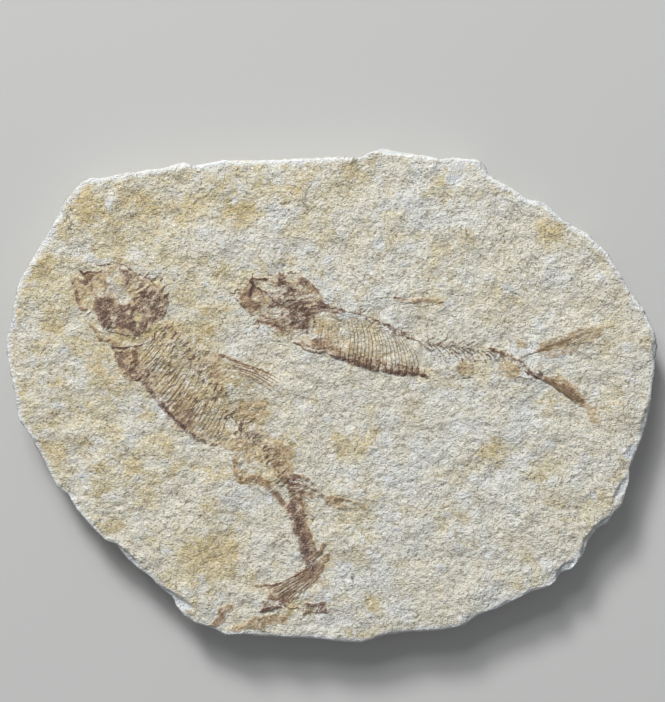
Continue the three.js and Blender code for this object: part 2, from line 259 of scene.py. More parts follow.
def grain(tree: NodeTree, where: NodeSocket, relief: Relief) -> NodeSocket:
    """Builds fine relief too small for the mesh.

    Args:
        tree: The material's node tree.
        where: The object's own coordinates.
        relief: The width and height of each size of grain, in millimetres.

    Returns:
        The normal.
    """
    inputs = {}
    for size, height in relief:
        setup = {"Vector": where, "Scale": 1 / (size * MM), "Detail": 3.0, "Roughness": 0.65}
        lumps = add(tree, "ShaderNodeTexNoise", inputs=setup, output="Fac")
        inputs |= {"Strength": 1.0, "Distance": height * MM, "Height": lumps}
        inputs["Normal"] = add(tree, "ShaderNodeBump", inputs=inputs, output="Normal")
    return inputs["Normal"]


def dressed(
    name: str, colour: Callable[[NodeTree, NodeSocket], NodeSocket], relief: Relief,
    roughness: float,
) -> Material:
    """Makes a dull mineral material.

    Args:
        name: The material's name.
        colour: Builds the colour from a node tree and the object's coordinates.
        relief: The width and height of each size of grain, in millimetres.
        roughness: How dull it is.

    Returns:
        The material.
    """
    made = bpy.data.materials.new(name)
    made.use_nodes = True
    tree = made.node_tree
    shader = tree.nodes["Principled BSDF"]
    where = add(tree, "ShaderNodeTexCoord", output="Object")
    tree.links.new(colour(tree, where), shader.inputs["Base Color"])
    tree.links.new(grain(tree, where, relief), shader.inputs["Normal"])
    shader.inputs["Roughness"].default_value = roughness
    shader.inputs["Specular IOR Level"].default_value = SHEEN
    return made


@dataclass(frozen=True)
class Limestone:
    """Fine-grained lake limestone, split by hand along its bedding: dead matt and sugary.

    Cream stone with chalky grey-white clouds, fine ochre speckle where iron has stained it,
    golden skin-oil stains by the fish, and paler fresh stone where the rim has been chipped.
    Its pits and fine cracks are darkened with painted shade.
    """

    base: str = "#ddd9c9"
    flecks: tuple[Fleck, ...] = (
        Fleck("#dddfdc", 17.0, 0.46, 0.62, 0.75, detail=6),
        Fleck("#d6caa6", 12.0, 0.52, 0.7, 0.8, "ochre_patch", 0.18, detail=6),
        Fleck("#dfe3e7", 5.0, 0.56, 0.67, 0.7),
        Fleck("#cfbd8e", 7.0, 0.58, 0.78, 0.85, "ochre_patch", 0.3, detail=7),
        Fleck("#c6b68c", 3.6, 0.66, 0.82, 0.65, "ochre_patch", 0.28, detail=5),
        Fleck("#b9a679", 1.8, 0.74, 0.9, 0.5, "ochre_patch", 0.3),
        Fleck("#bca778", 2.4, 0.5, 1.0, 0.85, "ochre", 0.62),
        Fleck("#f4f1e6", 0.9, 0.54, 0.62, 0.55, detail=2),
        Fleck("#a0967f", 1.2, 0.56, 0.64, 0.5, detail=2),
        # Painted shade: grey-brown darkening in the face's pits, set by the stored pit shade.
        Fleck("#9b907a", 0.8, 0.6, 0.84, 0.65, "pit_shade", 0.2),
        Fleck("#6b5c47", 0.6, 0.62, 0.68, 0.65, detail=2),
        Fleck("#b5ab93", 1.3, 0.74, 0.84, 0.6, "side", 0.3, stretch=(0.06, 0.06, 1)),
        Fleck("#b39f7a", 3.0, 0.78, 0.9, 0.5, "side", 0.3, stretch=(0.1, 0.1, 1)),
        Fleck("#e6e9ea", 1.6, 0.6, 1.1, 0.9, "rim", 0.6),
        Fleck("#d0d4d6", 2.0, 0.66, 1.05, 0.9, "fresh", 0.8),
    )
    crack_shades: tuple[CrackShade, ...] = (
        CrackShade(), CrackShade("#8a7c64", 4.5, 0.009, 6.0, 0.58, 0.65),
    )
    relief: Relief = ((5.0, 0.5), (2.3, 0.56), (1.0, 0.6), (0.5, 0.16))
    roughness: float = 0.93

    def colour(self, tree: NodeTree, where: NodeSocket) -> NodeSocket:
        """Builds the stone's colour from its flecks, the broadest first, and the painted shade of its
        cracks.
        """
        mixed = add(tree, "ShaderNodeRGB")
        mixed.default_value = linear(self.base)
        for fleck in self.flecks:
            mixed = fleck.over(tree, where, mixed)
        # Painted shade: dark lines laid where the fine cracks are.
        for crack in self.crack_shades:
            inputs = {0: crack.share(tree, where), 6: mixed, 7: linear(crack.colour)}
            mixed = add(tree, "ShaderNodeMix", RGBA, inputs, 2)
        return mixed

    def material(self, name: str) -> Material:
        """The stone as a material."""
        return dressed(name, self.colour, self.relief, self.roughness)


@dataclass(frozen=True)
class FossilFilm:
    """A fish's skin and thin bones, pressed to a mineral film: dull, patchy brown over stone.

    Red-brown where skin is left and purple-brown to black where bone lies under it; the stone
    shows through wherever the film is worn.
    """

    stone: Limestone
    flecks: tuple[Fleck, ...] = (
        Fleck("#bfa784", 2.2, 0.48, 1.08, 0.72, "brown", 0.7),
        Fleck("#93765a", 0.7, 0.66, 0.93, 0.85, "brown", 0.44),
        Fleck("#67503f", 0.42, 0.8, 1.0, 0.8, "brown", 0.44),
        Fleck("#a08a7b", 1.6, 0.52, 1.08, 0.7, "dark", 0.75),
        Fleck("#6c5449", 0.5, 0.62, 0.88, 0.9, "dark", 0.46),
        Fleck("#4b3a33", 0.4, 0.8, 1.04, 0.68, "dark", 0.46),
        Fleck("#e6dfd0", 0.45, 0.56, 0.68, 0.42, detail=3),
    )
    relief: Relief = ((5.0, 0.4), (2.3, 0.4), (1.0, 0.42), (0.5, 0.16))
    roughness: float = 0.8

    def colour(self, tree: NodeTree, where: NodeSocket) -> NodeSocket:
        """Builds the film's colour over the stone's."""
        mixed = self.stone.colour(tree, where)
        for fleck in self.flecks:
            mixed = fleck.over(tree, where, mixed)
        return mixed

    def material(self, name: str) -> Material:
        """The film as a material, over the same stone as the slab."""
        return dressed(name, self.colour, self.relief, self.roughness)


@dataclass(frozen=True)
class FossilBone:
    """Mineralised fish bone: hard, brown to near black, with a faint dull sheen on its ridges."""

    base: str = "#a08867"
    flecks: tuple[Fleck, ...] = (
        Fleck("#6d5747", 0.9, 0.6, 1.15, 0.95, "depth", 0.8),
        Fleck("#43362f", 0.5, 0.9, 1.4, 0.9, "depth", 0.9),
    )
    relief: Relief = ((0.5, 0.1),)
    roughness: float = 0.65

    def colour(self, tree: NodeTree, where: NodeSocket) -> NodeSocket:
        """Builds the bone's colour; each bone's own depth is stored on the mesh."""
        mixed = add(tree, "ShaderNodeRGB")
        mixed.default_value = linear(self.base)
        for fleck in self.flecks:
            mixed = fleck.over(tree, where, mixed)
        return mixed

    def material(self, name: str) -> Material:
        """The bone as a material."""
        return dressed(name, self.colour, self.relief, self.roughness)


# ---- marks of the fossils -------------------------------------------------------------------
class Pigment(Enum):
    """What a mark of the fossil does to the stone under it."""

    OCHRE = "ochre"
    BROWN = "brown"
    DARK = "dark"
    BARE = "bare"


OCHRE, BROWN, DARK, BARE = Pigment


@dataclass(frozen=True)
class Mark:
    """One line or area of the fossil in plan.

    A width of 0 makes an area bounded by the points; any other makes a line of that width.
    """

    pigment: Pigment
    depth: float
    points: Line
    width: float = 0.0
    soft: float = 0.6
    lift: float = 0.05

    def cover(self, where: np.ndarray) -> tuple[np.ndarray, np.ndarray]:
        """How fully the mark covers the points near it, from 0 to 1.

        Args:
            where: Plan positions in millimetres, one a row, in order along X.

        Returns:
            The rows of the points near the mark, and one share for each.
        """
        line = np.array([tuple(p) for p in self.points], float)
        reach = self.width / 2 + self.soft
        low, high = line.min(0) - reach, line.max(0) + reach
        first, last = np.searchsorted(where[:, 0], (low[0], high[0]))
        across = where[first:last, 1]
        near = first + np.nonzero((across > low[1]) & (across < high[1]))[0]
        spots = where[near]
        ends = line[1:] if self.width else np.roll(line, -1, axis=0)
        away = np.full(len(spots), np.inf)
        inside = np.zeros(len(spots), bool)
        for a, b in zip(line, ends):
            run = b - a
            along = np.clip((spots - a) @ run / max(run @ run, 1e-9), 0, 1)
            away = np.minimum(away, np.hypot(*(spots - a - along[:, None] * run).T))
            if a[1] != b[1]:
                crosses = (a[1] > spots[:, 1]) != (b[1] > spots[:, 1])
                inside ^= crosses & (spots[:, 0] < a[0] + (spots[:, 1] - a[1]) * run[0] / run[1])
        gap = away - self.width / 2 if self.width else np.where(inside, -away, away)
        return near, 1 - smooth(-self.soft / 2, self.soft / 2, gap)


# Waves that break a mark's edge: share of the full stray, width in millimetres, two noise sheets.
EDGE_WAVES = ((1.0, 1.3, 1.5, 7.5), (0.5, 0.5, 2.5, 9.5))
LEAST_WORN, MOST_WORN = 0.25, 1.25


def paint(
    marks: Iterable[Mark], where: np.ndarray, turn: float = 0.0, stray: float = 0.3
) -> dict[str, np.ndarray]:
    """Lays marks on points in plan, with their edges broken by noise and their faces streaked.

    Args:
        marks: The marks, in any order.
        where: Plan positions in millimetres, one a row.
        turn: The direction of the streaks, in degrees from +X.
        stray: How far the edges wander, in millimetres.

    Returns:
        Each pigment's strength at each point, and the lift of the bone under it.
    """
    bent = where
    for share, size, *sheets in EDGE_WAVES:
        bent = bent + share * stray * np.stack([wobble(where, size, s) for s in sheets], 1)
    laid = {p.value: np.zeros(len(where)) for p in Pigment} | {"lift": np.zeros(len(where))}
    order = np.argsort(bent[:, 0])
    spots = bent[order]
    for mark in marks:
        near, cover = mark.cover(spots)
        near = order[near]
        name = mark.pigment.value
        laid[name][near] = 1 - (1 - laid[name][near]) * (1 - cover * mark.depth)
        if mark.pigment is not BARE:
            laid["lift"][near] = np.maximum(laid["lift"][near], cover * mark.lift)
    angle = math.radians(turn)
    run = np.array((math.cos(angle), math.sin(angle)))
    slid = np.stack([where @ run / 4, where @ (-run[1], run[0])], 1)
    broad = 0.4 * wobble(where, 4.0, 12.5) + 0.45 * wobble(where, 1.4, 17.5)
    worn = np.clip(1 + broad + 0.55 * wobble(slid, 0.5, 23.5), LEAST_WORN, MOST_WORN)
    for name in (OCHRE.value, BROWN.value, DARK.value, "lift"):
        laid[name] = laid[name] * (1 - laid[BARE.value]) * worn
    return laid


def along(line: Line, share: float) -> Vector:
    """The point that lies that share of the way along a line's length."""
    spots = [Vector(p) for p in line]
    runs = [(b - a).length for a, b in zip(spots, spots[1:])]
    left = share * sum(runs)
    for a, b, run in zip(spots, spots[1:], runs):
        if left <= run:
            return a.lerp(b, left / run)
        left -= run
    return spots[-1]


def hatch(
    pigment: Pigment, depth: float, first: Line, last: Line, count: int, width: float = 0.3,
    span: tuple[float, float] = (0.0, 1.0), bow: Point = (0.0, 0.0), seed: int = 1,
) -> list[Mark]:
    """Lines drawn from points along one line to points along another, unevenly worn.

    Args:
        pigment: What the lines are drawn with.
        depth: Their greatest strength.
        first: Where they start.
        last: Where they end.
        count: How many there are.
        width: Their width in millimetres.
        span: The stretch of each line that is drawn, from 0 to 1.
        bow: How far their middles are pushed aside, in millimetres.
        seed: Picks the wear.

    Returns:
        The lines.
    """
    chance = random.Random(seed)
    lines = []
    for i in range(count):
        share = (i + chance.uniform(0.3, 0.7)) / count
        root, tip = along(first, share), along(last, share)
        low, high = span[0] + chance.uniform(0, 0.1), span[1] - chance.uniform(0, 0.12)
        places = [low + (high - low) * k / 3 for k in range(4)]
        spots = [tuple(root.lerp(tip, t) + Vector(bow) * 4 * t * (1 - t)) for t in places]
        strength = depth * chance.uniform(0.55, 1.0)
        lines.append(Mark(pigment, strength, spots, width * chance.uniform(0.8, 1.2), 0.35, 0.1))
    return lines


def dashes(
    pigment: Pigment, depth: float, middle: Line, spread: float, count: int, turn: float,
    size: float = 0.5, seed: int = 1,
) -> list[Mark]:
    """Short strokes scattered about a line.

    Args:
        pigment: What they are drawn with.
        depth: Their greatest strength.
        middle: The line they lie about.
        spread: How far from it they may lie, in millimetres.
        count: How many there are.
        turn: Their direction, in degrees from +X.
        size: Their width in millimetres.
        seed: Picks their places.

    Returns:
        The strokes.
    """
    chance = random.Random(seed)
    strokes = []
    for _ in range(count):
        spot = along(middle, chance.random())
        spot += Vector((chance.gauss(0, spread / 2), chance.gauss(0, spread / 2)))
        angle = math.radians(turn + chance.uniform(-25, 25))
        run = Vector((math.cos(angle), math.sin(angle))) * chance.uniform(0.3, 1.2) * size * 2.3
        width = size * chance.uniform(0.5, 1.2)
        strength = depth * chance.uniform(0.4, 1.0)
        strokes.append(Mark(pigment, strength, (tuple(spot - run), tuple(spot + run)), width, 0.4))
    return strokes


# ---- the slab -------------------------------------------------------------------------------
@dataclass(frozen=True)
class SplitFace:
    """The relief of a bedding plane, in millimetres above or below the mean face."""

    swell: float = 0.25
    swell_size: float = 38.0
    flake: float = 0.22
    flake_size: float = 9.0
    flakes_per_wave: float = 5.0
    ragged: float = 1.1
    lump: float = 0.18
    lump_size: float = 2.8
    grit: float = 0.12
    grit_size: float = 1.3
    step_start: float = 0.38
    step_width: float = 0.24
    highest: float = 0.75
    sheet: float = 3.7

    def height(self, x: float, y: float) -> float:
        """The face's height at a point in plan.

        Args:
            x: Millimetres along the slab.
            y: Millimetres across it.

        Returns:
            Millimetres above the mean face.
        """
        here = Vector((x, y, self.sheet))
        broad = noise.noise(here / self.swell_size)
        rag = Vector((noise.noise(here / 1.9), noise.noise(here / 2.1 + Vector((5, 5, 5))), 0))
        bed = noise.fractal((here + rag * self.ragged) / self.flake_size, 0.8, 2.1, 3)
        level = bed * self.flakes_per_wave
        whole = math.floor(level)
        part = min(max((level - whole - self.step_start) / self.step_width, 0), 1)
        terrace = (whole + part * part * (3 - 2 * part)) / self.flakes_per_wave * 3
        lumpy = noise.fractal(here / self.lump_size, 0.7, 2.2, 3)
        gritty = noise.noise(here / self.grit_size)
        relief = self.swell * broad + self.flake * terrace + self.lump * lumpy
        return min(relief + self.grit * gritty, self.highest)

    def pit_shade(self, x: float, y: float) -> float:
        """How much painted shade a point takes for lying low, from 0 on the high grains to 1 in the pits.
        """
        here = Vector((x, y, self.sheet))
        low = -noise.fractal(here / self.lump_size, 0.7, 2.2, 3)
        low -= 0.5 * noise.noise(here / self.grit_size)
        return min(max(low * 0.9 + 0.3, 0), 1)


@dataclass(frozen=True)
class Scar:
    """A flake knocked off the rim: an oval scoop in plan, turned some degrees from +X."""

    x: float
    y: float
    length: float
    width: float
    turn: float
    depth: float
    bevel: float = 0.35
    ragged: float = 0.25

    def share(self, x: float, y: float) -> float:
        """How deep in the scar a point is, from 0 outside to 1 in the middle."""
        angle = math.radians(self.turn)
        dx, dy = x - self.x, y - self.y
        far = (dx * math.cos(angle) + dy * math.sin(angle)) / (self.length / 2)
        near = (dy * math.cos(angle) - dx * math.sin(angle)) / (self.width / 2)
        away = math.hypot(far, near) + self.ragged * noise.noise(Vector((x / 2, y / 2, 4)))
        return min(max((1 - away) / self.bevel, 0), 1)


@dataclass
class Slab:
    """The broken plate of limestone, made to the CAD slab's outline and height."""

    halo: Sequence[Mark] = ()
    node: str = "limestone_slab"
    slot: str = "limestone"
    columns: int = 310
    rows: int = 236
    back_share: float = 1 / 3
    edge_inset: float = 0.45
    face_level: float = 0.86
    mean_face: float = 0.985
    worn_width: float = 0.9
    worn_depth: float = 0.75
    rim_least: float = 1.2
    rim_spread: float = 2.2
    stain_least: float = 0.1
    stain_lean: float = 0.38
    scoop: float = 1.1
    scoop_size: float = 6.5
    nick: float = 0.4
    nick_size: float = 2.3
    layer: float = 0.32
    rough: float = 0.14
    side_inset: float = 0.15
    back_relief: float = 0.35
    back_inset: float = 0.99
    face: SplitFace = field(default_factory=SplitFace)
    levels: tuple[float, ...] = (
        0.93, 0.88, 0.81, 0.73, 0.64, 0.54, 0.44, 0.34, 0.24, 0.15, 0.08, 0.02,
    )
    scars: tuple[Scar, ...] = (
        Scar(75.8, -36, 9, 5.6, 24, 0.9), Scar(70.8, -41, 9, 4.4, 60, 0.7),
        Scar(82.2, -15.5, 4.6, 3.2, 75, 0.4), Scar(86.8, -6, 14, 3.0, 70, 0.7),
        Scar(89.6, 12, 10, 3.2, 95, 0.8), Scar(79.5, -25.6, 9, 2.4, 62, 0.35),
        Scar(64, -48, 8, 3, 48, 0.7), Scar(19, 68.4, 24, 4.4, -2, 2.2),
        Scar(44, 62, 9, 3.6, -38, 0.6), Scar(-44, -55.5, 14, 3.0, -32, 0.8),
        Scar(-57, -44, 10, 2.6, -42, 0.6), Scar(-32, -66, 9, 2.4, -30, 0.7),
        Scar(-77, 50, 6, 4, 45, 0.5), Scar(-88.5, 20, 8, 2.4, 85, 0.4),
        Scar(60, 52, 12, 2.6, -35, 0.5), Scar(-4, 67.5, 12, 2.2, 2, 0.6),
    )
    ochre_patches: tuple[Patch, ...] = (
        (-82, 37, 8, 1.0), (-26, 50, 6, 1.1), (-68, 52, 8, 0.95), (-52, 54, 6, 0.8),
        (-40, 50, 8, 0.75), (-60, 44, 8, 0.7), (-14, 56, 7, 0.55), (-46, 38, 6, 0.6),
        (6, -12, 6, 0.7), (22, -4, 4, 0.5), (62, 45, 5, 0.7), (42, -15, 5, 0.5),
        (-34, -45, 9, 0.9), (-60, -22, 9, 0.35), (-12, 44, 9, 0.4), (70, 33, 6, 0.4),
        (-78, 20, 8, 0.35), (0, 56, 8, 0.4), (30, 58, 8, 0.4), (12, -57, 4, 0.7),
        (-35, 18, 5, 0.6), (62, -2, 5, 0.4), (14, 31, 5, 0.4), (80, 0, 5, 0.3),
    )
    chalk_patches: tuple[Patch, ...] = (
        (-55, -10.5, 4.5, 0.55), (-9, 63, 5, 0.5), (17, 40, 4, 0.5), (35, -8, 4, 0.6),
        (53, -5, 3, 0.6), (3, -9, 3, 0.5), (-46, -43, 1.0, 1.2), (-27, 54, 1.2, 0.9),
        (34, 61, 5, 0.8), (86.5, 26, 4.5, 0.8), (81.5, -16, 1.6, 1.2), (28, 34, 3, 0.4),
        (-72, -5, 5, 0.35), (58, -40, 4, 0.35), (40, -30, 5, 0.3), (5, -48, 5, 0.3),
    )

    def __post_init__(self) -> None:
        """Reads the CAD slab's size and surface."""
        low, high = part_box(self.node)
        self.half = Vector(((high.x - low.x) / 2, (high.y - low.y) / 2)) / MM
        self.top = high.z / MM
        solid = bmesh.new()
        solid.from_mesh(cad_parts[self.node].data)
        bmesh.ops.remove_doubles(solid, verts=solid.verts, dist=1e-6)
        self.cad_tree = BVHTree.FromBMesh(solid)
        solid.free()

    def reach(self, angle: float, level: float) -> float:
        """How far the CAD slab reaches from its middle, in millimetres.

        Args:
            angle: The direction in plan, in radians.
            level: The height above the back, from 0 to 1.

        Returns:
            The distance from the middle to the broken side.
        """
        out = Vector((math.cos(angle), math.sin(angle), 0))
        start = out * 0.2 + Vector((0, 0, level * self.top * MM))
        return self.cad_tree.ray_cast(start, -out)[0].xy.length / MM

    def to_plan(
        self, u: float, v: float, edge: dict[float, float], level: float
    ) -> tuple[float, float, float]:
        """Maps a point of a square to the slab's outline.

        Args:
            u: From -1 to 1 along the square.
            v: From -1 to 1 across the square.
            edge: Distances already found, by direction.
            level: The height at which the outline is read, from 0 to 1.

        Returns:
            The plan position, and how far it is from the outline.
        """
        disc = Vector((u * math.sqrt(1 - v * v / 2), v * math.sqrt(1 - u * u / 2)))
        share = min(disc.length, 1.0)
        oval = Vector((disc.x * self.half.x, disc.y * self.half.y))
        if share < 1e-6:
            return 0.0, 0.0, self.half.y
        angle = round(math.atan2(oval.y, oval.x), 4)
        if angle not in edge:
            edge[angle] = self.reach(angle, level) - self.edge_inset
        plain = oval.length / share
        stretch = 1 + (edge[angle] / plain - 1) * share**2
        return oval.x * stretch, oval.y * stretch, (1 - share) * edge[angle]

    def chips(self, angle: float, level: float, reach: float) -> float:
        """How far the broken side is scooped in at a point.

        Args:
            angle: The direction in plan, in radians.
            level: The height above the back, in millimetres.
            reach: The distance from the middle there.

        Returns:
            Millimetres inwards.
        """
        x, y = math.cos(angle) * reach, math.sin(angle) * reach
        scoop = noise.voronoi(Vector((x / self.scoop_size, y / self.scoop_size, level / 5.0)))[0][0]
        nick = noise.voronoi(Vector((x / self.nick_size, y / self.nick_size, level / 1.6 + 9)))[0][0]
        layer = math.tanh(5 * noise.noise(Vector((x / 16, y / 16, level / 1.3))))
        rough = noise.fractal(Vector((x, y, level)) / 1.3, 0.8, 2, 3)
        chipped = self.scoop * (0.5 - scoop) + self.nick * (0.5 - nick)
        return chipped + self.layer * layer + self.rough * rough

    def build(self, finish: Material) -> Object:
        """Models the slab as one closed mesh.

        Args:
            finish: Its material.

        Returns:
            The slab.
        """
        maker = bmesh.new()
        names = ("rim", "pit_shade", "ochre_patch", "ochre", "fresh", "side", "rim_height")
        layers = {name: maker.verts.layers.float.new(name) for name in names}
        edge: dict[float, float] = {}
        bmesh.ops.create_grid(maker, x_segments=self.columns, y_segments=self.rows, size=1)
        verts = list(maker.verts)
        for vert in verts:
            x, y, inward = self.to_plan(vert.co.x, vert.co.y, edge, self.face_level)
            ragged = 0.5 + 0.5 * noise.noise(Vector((x / 4, y / 4, 1)))
            scar = max((s.share(x, y) * s.depth, s.share(x, y)) for s in self.scars)
            worn = math.exp(-inward / self.worn_width) * (0.35 + 0.6 * ragged)
            bump = self.face.height(x, y) * (1 - 0.5 * scar[1])
            z = self.top * self.mean_face + bump - self.worn_depth * worn - scar[0]
            vert.co = Vector((x, y, z)) * MM
            rim = 1 - inward / (self.rim_least + self.rim_spread * ragged)
            vert[layers["rim"]] = max(rim, self.chalk(x, y), 0.0)
            vert[layers["fresh"]] = scar[1]
            # Stores how much painted shade the pits of the face take.
            vert[layers["pit_shade"]] = self.face.pit_shade(x, y)
            vert[layers["ochre_patch"]] = self.stain(x, y)
            vert[layers["rim_height"]] = z / self.top
        plan = np.array([v.co[:2] for v in verts]) / MM
        for vert, share in zip(verts, paint(self.halo, plan)[OCHRE.value]):
            vert[layers["ochre"]] = share
        self.wrap_sides(maker, layers)
        self.close_back(maker, layers)
        bmesh.ops.recalc_face_normals(maker, faces=maker.faces)
        return new_object("slab_stone", maker, finish)

    def stain(self, x: float, y: float) -> float:
        """How strongly iron has stained the face at a point.

        Args:
            x: Millimetres along the slab.
            y: Millimetres across it.

        Returns:
            The strength of the soft round patch there, or of the even stain that grows leftwards.
        """
        leaning = min(max((20 - x + 0.4 * y) / 90, 0), 1)
        even = self.stain_least + self.stain_lean * leaning
        return max(even, self.strongest(self.ochre_patches, x, y))

    def chalk(self, x: float, y: float) -> float:
        """How chalky white the face is at a point, as soft round patches."""
        return self.strongest(self.chalk_patches, x, y)

    @staticmethod
    def strongest(patches: Iterable[Patch], x: float, y: float) -> float:
        """The strongest of some soft round patches at a point.

        Args:
            patches: Each patch's middle, size and strength.
            x: Millimetres along the slab.
            y: Millimetres across it.

        Returns:
            The strength there.
        """
        return max(
            share * math.exp(-((x - px) ** 2 + (y - py) ** 2) / size**2)
            for px, py, size, share in patches
        )

    def wrap_sides(self, maker: bmesh.types.BMesh, layers: dict) -> None:
        """Extrudes the face's edge down the broken side, one ring for each level.

        Args:
            maker: The slab's mesh, with its face.
            layers: The values stored on its vertices, by name.
        """
        edges = [e for e in maker.edges if e.is_boundary]
        for level in self.levels:
            grown = bmesh.ops.extrude_edge_only(maker, edges=edges)["geom"]
            edges = [g for g in grown if isinstance(g, bmesh.types.BMEdge)]
            for vert in (g for g in grown if isinstance(g, bmesh.types.BMVert)):
                angle = math.atan2(vert.co.y, vert.co.x)
                height = level * vert[layers["rim_height"]] * self.top
                reach = self.reach(angle, min(level, 0.99))
                reach -= max(self.chips(angle, height, reach), -0.3) + self.side_inset
                vert.co = Vector((math.cos(angle) * reach, math.sin(angle) * reach, height)) * MM
                vert[layers["rim"]] = 0.5
                vert[layers["side"]] = 1.0
                vert[layers["fresh"]] *= 0.5
                # On the broken sides the painted pit shade is plain noise about a half.
                vert[layers["pit_shade"]] = 0.5 + 0.5 * noise.noise(vert.co / (1.5 * MM))

    def close_back(self, maker: bmesh.types.BMesh, layers: dict) -> None:
        """Lays a coarser split face at the back and joins it to the sides.

        Args:
            maker: The slab's mesh, with its face and sides.
            layers: The values stored on its vertices, by name.
        """
        side = [e for e in maker.edges if e.is_boundary]
        edge: dict[float, float] = {}
        columns, rows = round(self.columns * self.back_share), round(self.rows * self.back_share)
        back = bmesh.ops.create_grid(maker, x_segments=columns, y_segments=rows, size=1)["verts"]
        for vert in back:
            x, y, inward = self.to_plan(vert.co.x, vert.co.y, edge, 0.03)
            calm = 1 - math.exp(-inward / 4)
            z = self.back_relief * abs(noise.fractal(Vector((x, y, 8)) / 13, 0.8, 2, 3)) * calm
            vert.co = Vector((x * self.back_inset, y * self.back_inset, z)) * MM
            vert[layers["ochre_patch"]] = 0.5 + 0.5 * noise.noise(Vector((x / 20, y / 20, 30)))
        members = set(back)
        rim = {e for v in back for e in v.link_edges if e.is_boundary and e.verts[0] in members}
        bmesh.ops.bridge_loops(maker, edges=side + list(rim))

    def make(self, stone: Limestone) -> Object:
        """Builds and dresses the slab."""
        piece = self.build(stone.material("split_lake_limestone"))
        enlist(piece, self.slot, self.node)
        return piece


class Ground:
    """The finished surfaces that a fossil lies on."""

    drop_from: float = 0.05

    def __init__(self, *pieces: Object) -> None:
        """Takes the pieces whose tops are felt for."""
        self.trees = []
        for piece in pieces:
            solid = bmesh.new()
            solid.from_mesh(piece.data)
            self.trees.append(BVHTree.FromBMesh(solid))
            solid.free()

    def height(self, x: float, y: float) -> float:
        """The highest surface at a point in plan, all in millimetres."""
        start = Vector((x * MM, y * MM, self.drop_from))
        hits = [tree.ray_cast(start, Vector((0, 0, -1)))[0] for tree in self.trees]
        return max(hit.z for hit in hits if hit is not None) / MM


# ---- fossils --------------------------------------------------------------------------------
@dataclass(frozen=True)
class Bone:
    """One slender bone or fin ray: a smooth line in plan, its widths and depth of colour."""

    points: Line
    width: float
    tip: float
    depth: float = 0.5
    rise: float = 0.05
    flat: float = 0.7


def curve(line: Line, count: int) -> list[Vector]:
    """A smooth curve through a line's points.

    Args:
        line: The points that the curve passes through.
        count: How many points to give back.

    Returns:
        The curve's points.
    """
    spots = [Vector(p) for p in line]
    spots = [2 * spots[0] - spots[1], *spots, 2 * spots[-1] - spots[-2]]
    made = []
    for i in range(count):
        whole = i / (count - 1) * (len(spots) - 3)
        k = min(int(whole), len(spots) - 4)
        t = whole - k
        a, b, c, d = spots[k : k + 4]
        bend, twist = 2 * a - 5 * b + 4 * c - d, 3 * b - a - 3 * c + d
        made.append(0.5 * (2 * b + (c - a) * t + bend * t**2 + twist * t**3))
    return made


@dataclass
class Film:
    """The film that one fossil leaves on the stone: a thin draped sheet painted by its marks."""

    name: str
    nodes: tuple[str, ...]
    marks: Sequence[Mark]
    halo: Sequence[Mark] = ()
    turn: float = 0.0
    cell: float = 0.24
    sink: float = 0.12
    rise: float = 0.1
    thickness: float = 0.35
    least: float = 0.04
    full: float = 0.35
    margin: float = 1.5

    def make(self, slab: Slab, ground: Ground, finish: Material) -> Object:
        """Builds and dresses the film.

        Args:
            slab: The slab it lies on.
            ground: The slab's finished surface.
            finish: Its material.

        Returns:
            The film.
        """
        solid_marks = [m for m in self.marks if m.pigment is not BARE]
        spots = np.array([tuple(p) for mark in solid_marks for p in mark.points])
        low, high = spots.min(0) - self.margin, spots.max(0) + self.margin
        counts = np.ceil((high - low) / self.cell).astype(int)
        maker = bmesh.new()
        names = ("brown", "dark", "ochre", "pit_shade", "ochre_patch")
        layers = {name: maker.verts.layers.float.new(name) for name in names}
        bmesh.ops.create_grid(maker, x_segments=int(counts[0]), y_segments=int(counts[1]), size=0.5)
        verts = list(maker.verts)
        plan = np.array([v.co[:2] for v in verts]) * (high - low) + (low + high) / 2
        laid = paint(self.marks, plan, self.turn)
        cover = np.maximum(laid["brown"], laid["dark"])
        kept = [i for i in range(len(verts)) if cover[i] >= self.least]
        ochre = dict(zip(kept, paint(self.halo, plan[kept])["ochre"]))
        for i in kept:
            x, y = plan[i]
            stand = min(cover[i] / self.full, 1) * (self.sink + self.rise) - self.sink
            z = ground.height(x, y) + stand + laid["lift"][i]
            verts[i].co = Vector((x, y, z)) * MM
            verts[i][layers["brown"]] = laid["brown"][i]
            verts[i][layers["dark"]] = laid["dark"][i]
            verts[i][layers["ochre"]] = ochre[i]
            # The film takes the same painted pit shade as the face under it.
            verts[i][layers["pit_shade"]] = slab.face.pit_shade(x, y)
            verts[i][layers["ochre_patch"]] = slab.stain(x, y)
        gone = [vert for vert, share in zip(verts, cover) if share < self.least]
        bmesh.ops.delete(maker, geom=gone, context="VERTS")
        self.clean_edges(maker)
        grown = bmesh.ops.extrude_face_region(maker, geom=maker.faces[:])["geom"]
        under = [g for g in grown if isinstance(g, bmesh.types.BMVert)]
        bmesh.ops.translate(maker, verts=under, vec=(0, 0, -self.thickness * MM))
        bmesh.ops.recalc_face_normals(maker, faces=maker.faces)
        piece = new_object(self.name, maker, finish)
        enlist(piece, FOSSIL_SLOT, *self.nodes)
        return piece

    def clean_edges(self, maker: bmesh.types.BMesh) -> None:
        """Removes loose vertices, and faces that would join others at one corner only."""
        while True:
            poor = [
                v for v in maker.verts
                if not v.link_faces or sum(e.is_boundary for e in v.link_edges) > 2
            ]
            if not poor:
                return
            bmesh.ops.delete(maker, geom=poor, context="VERTS")


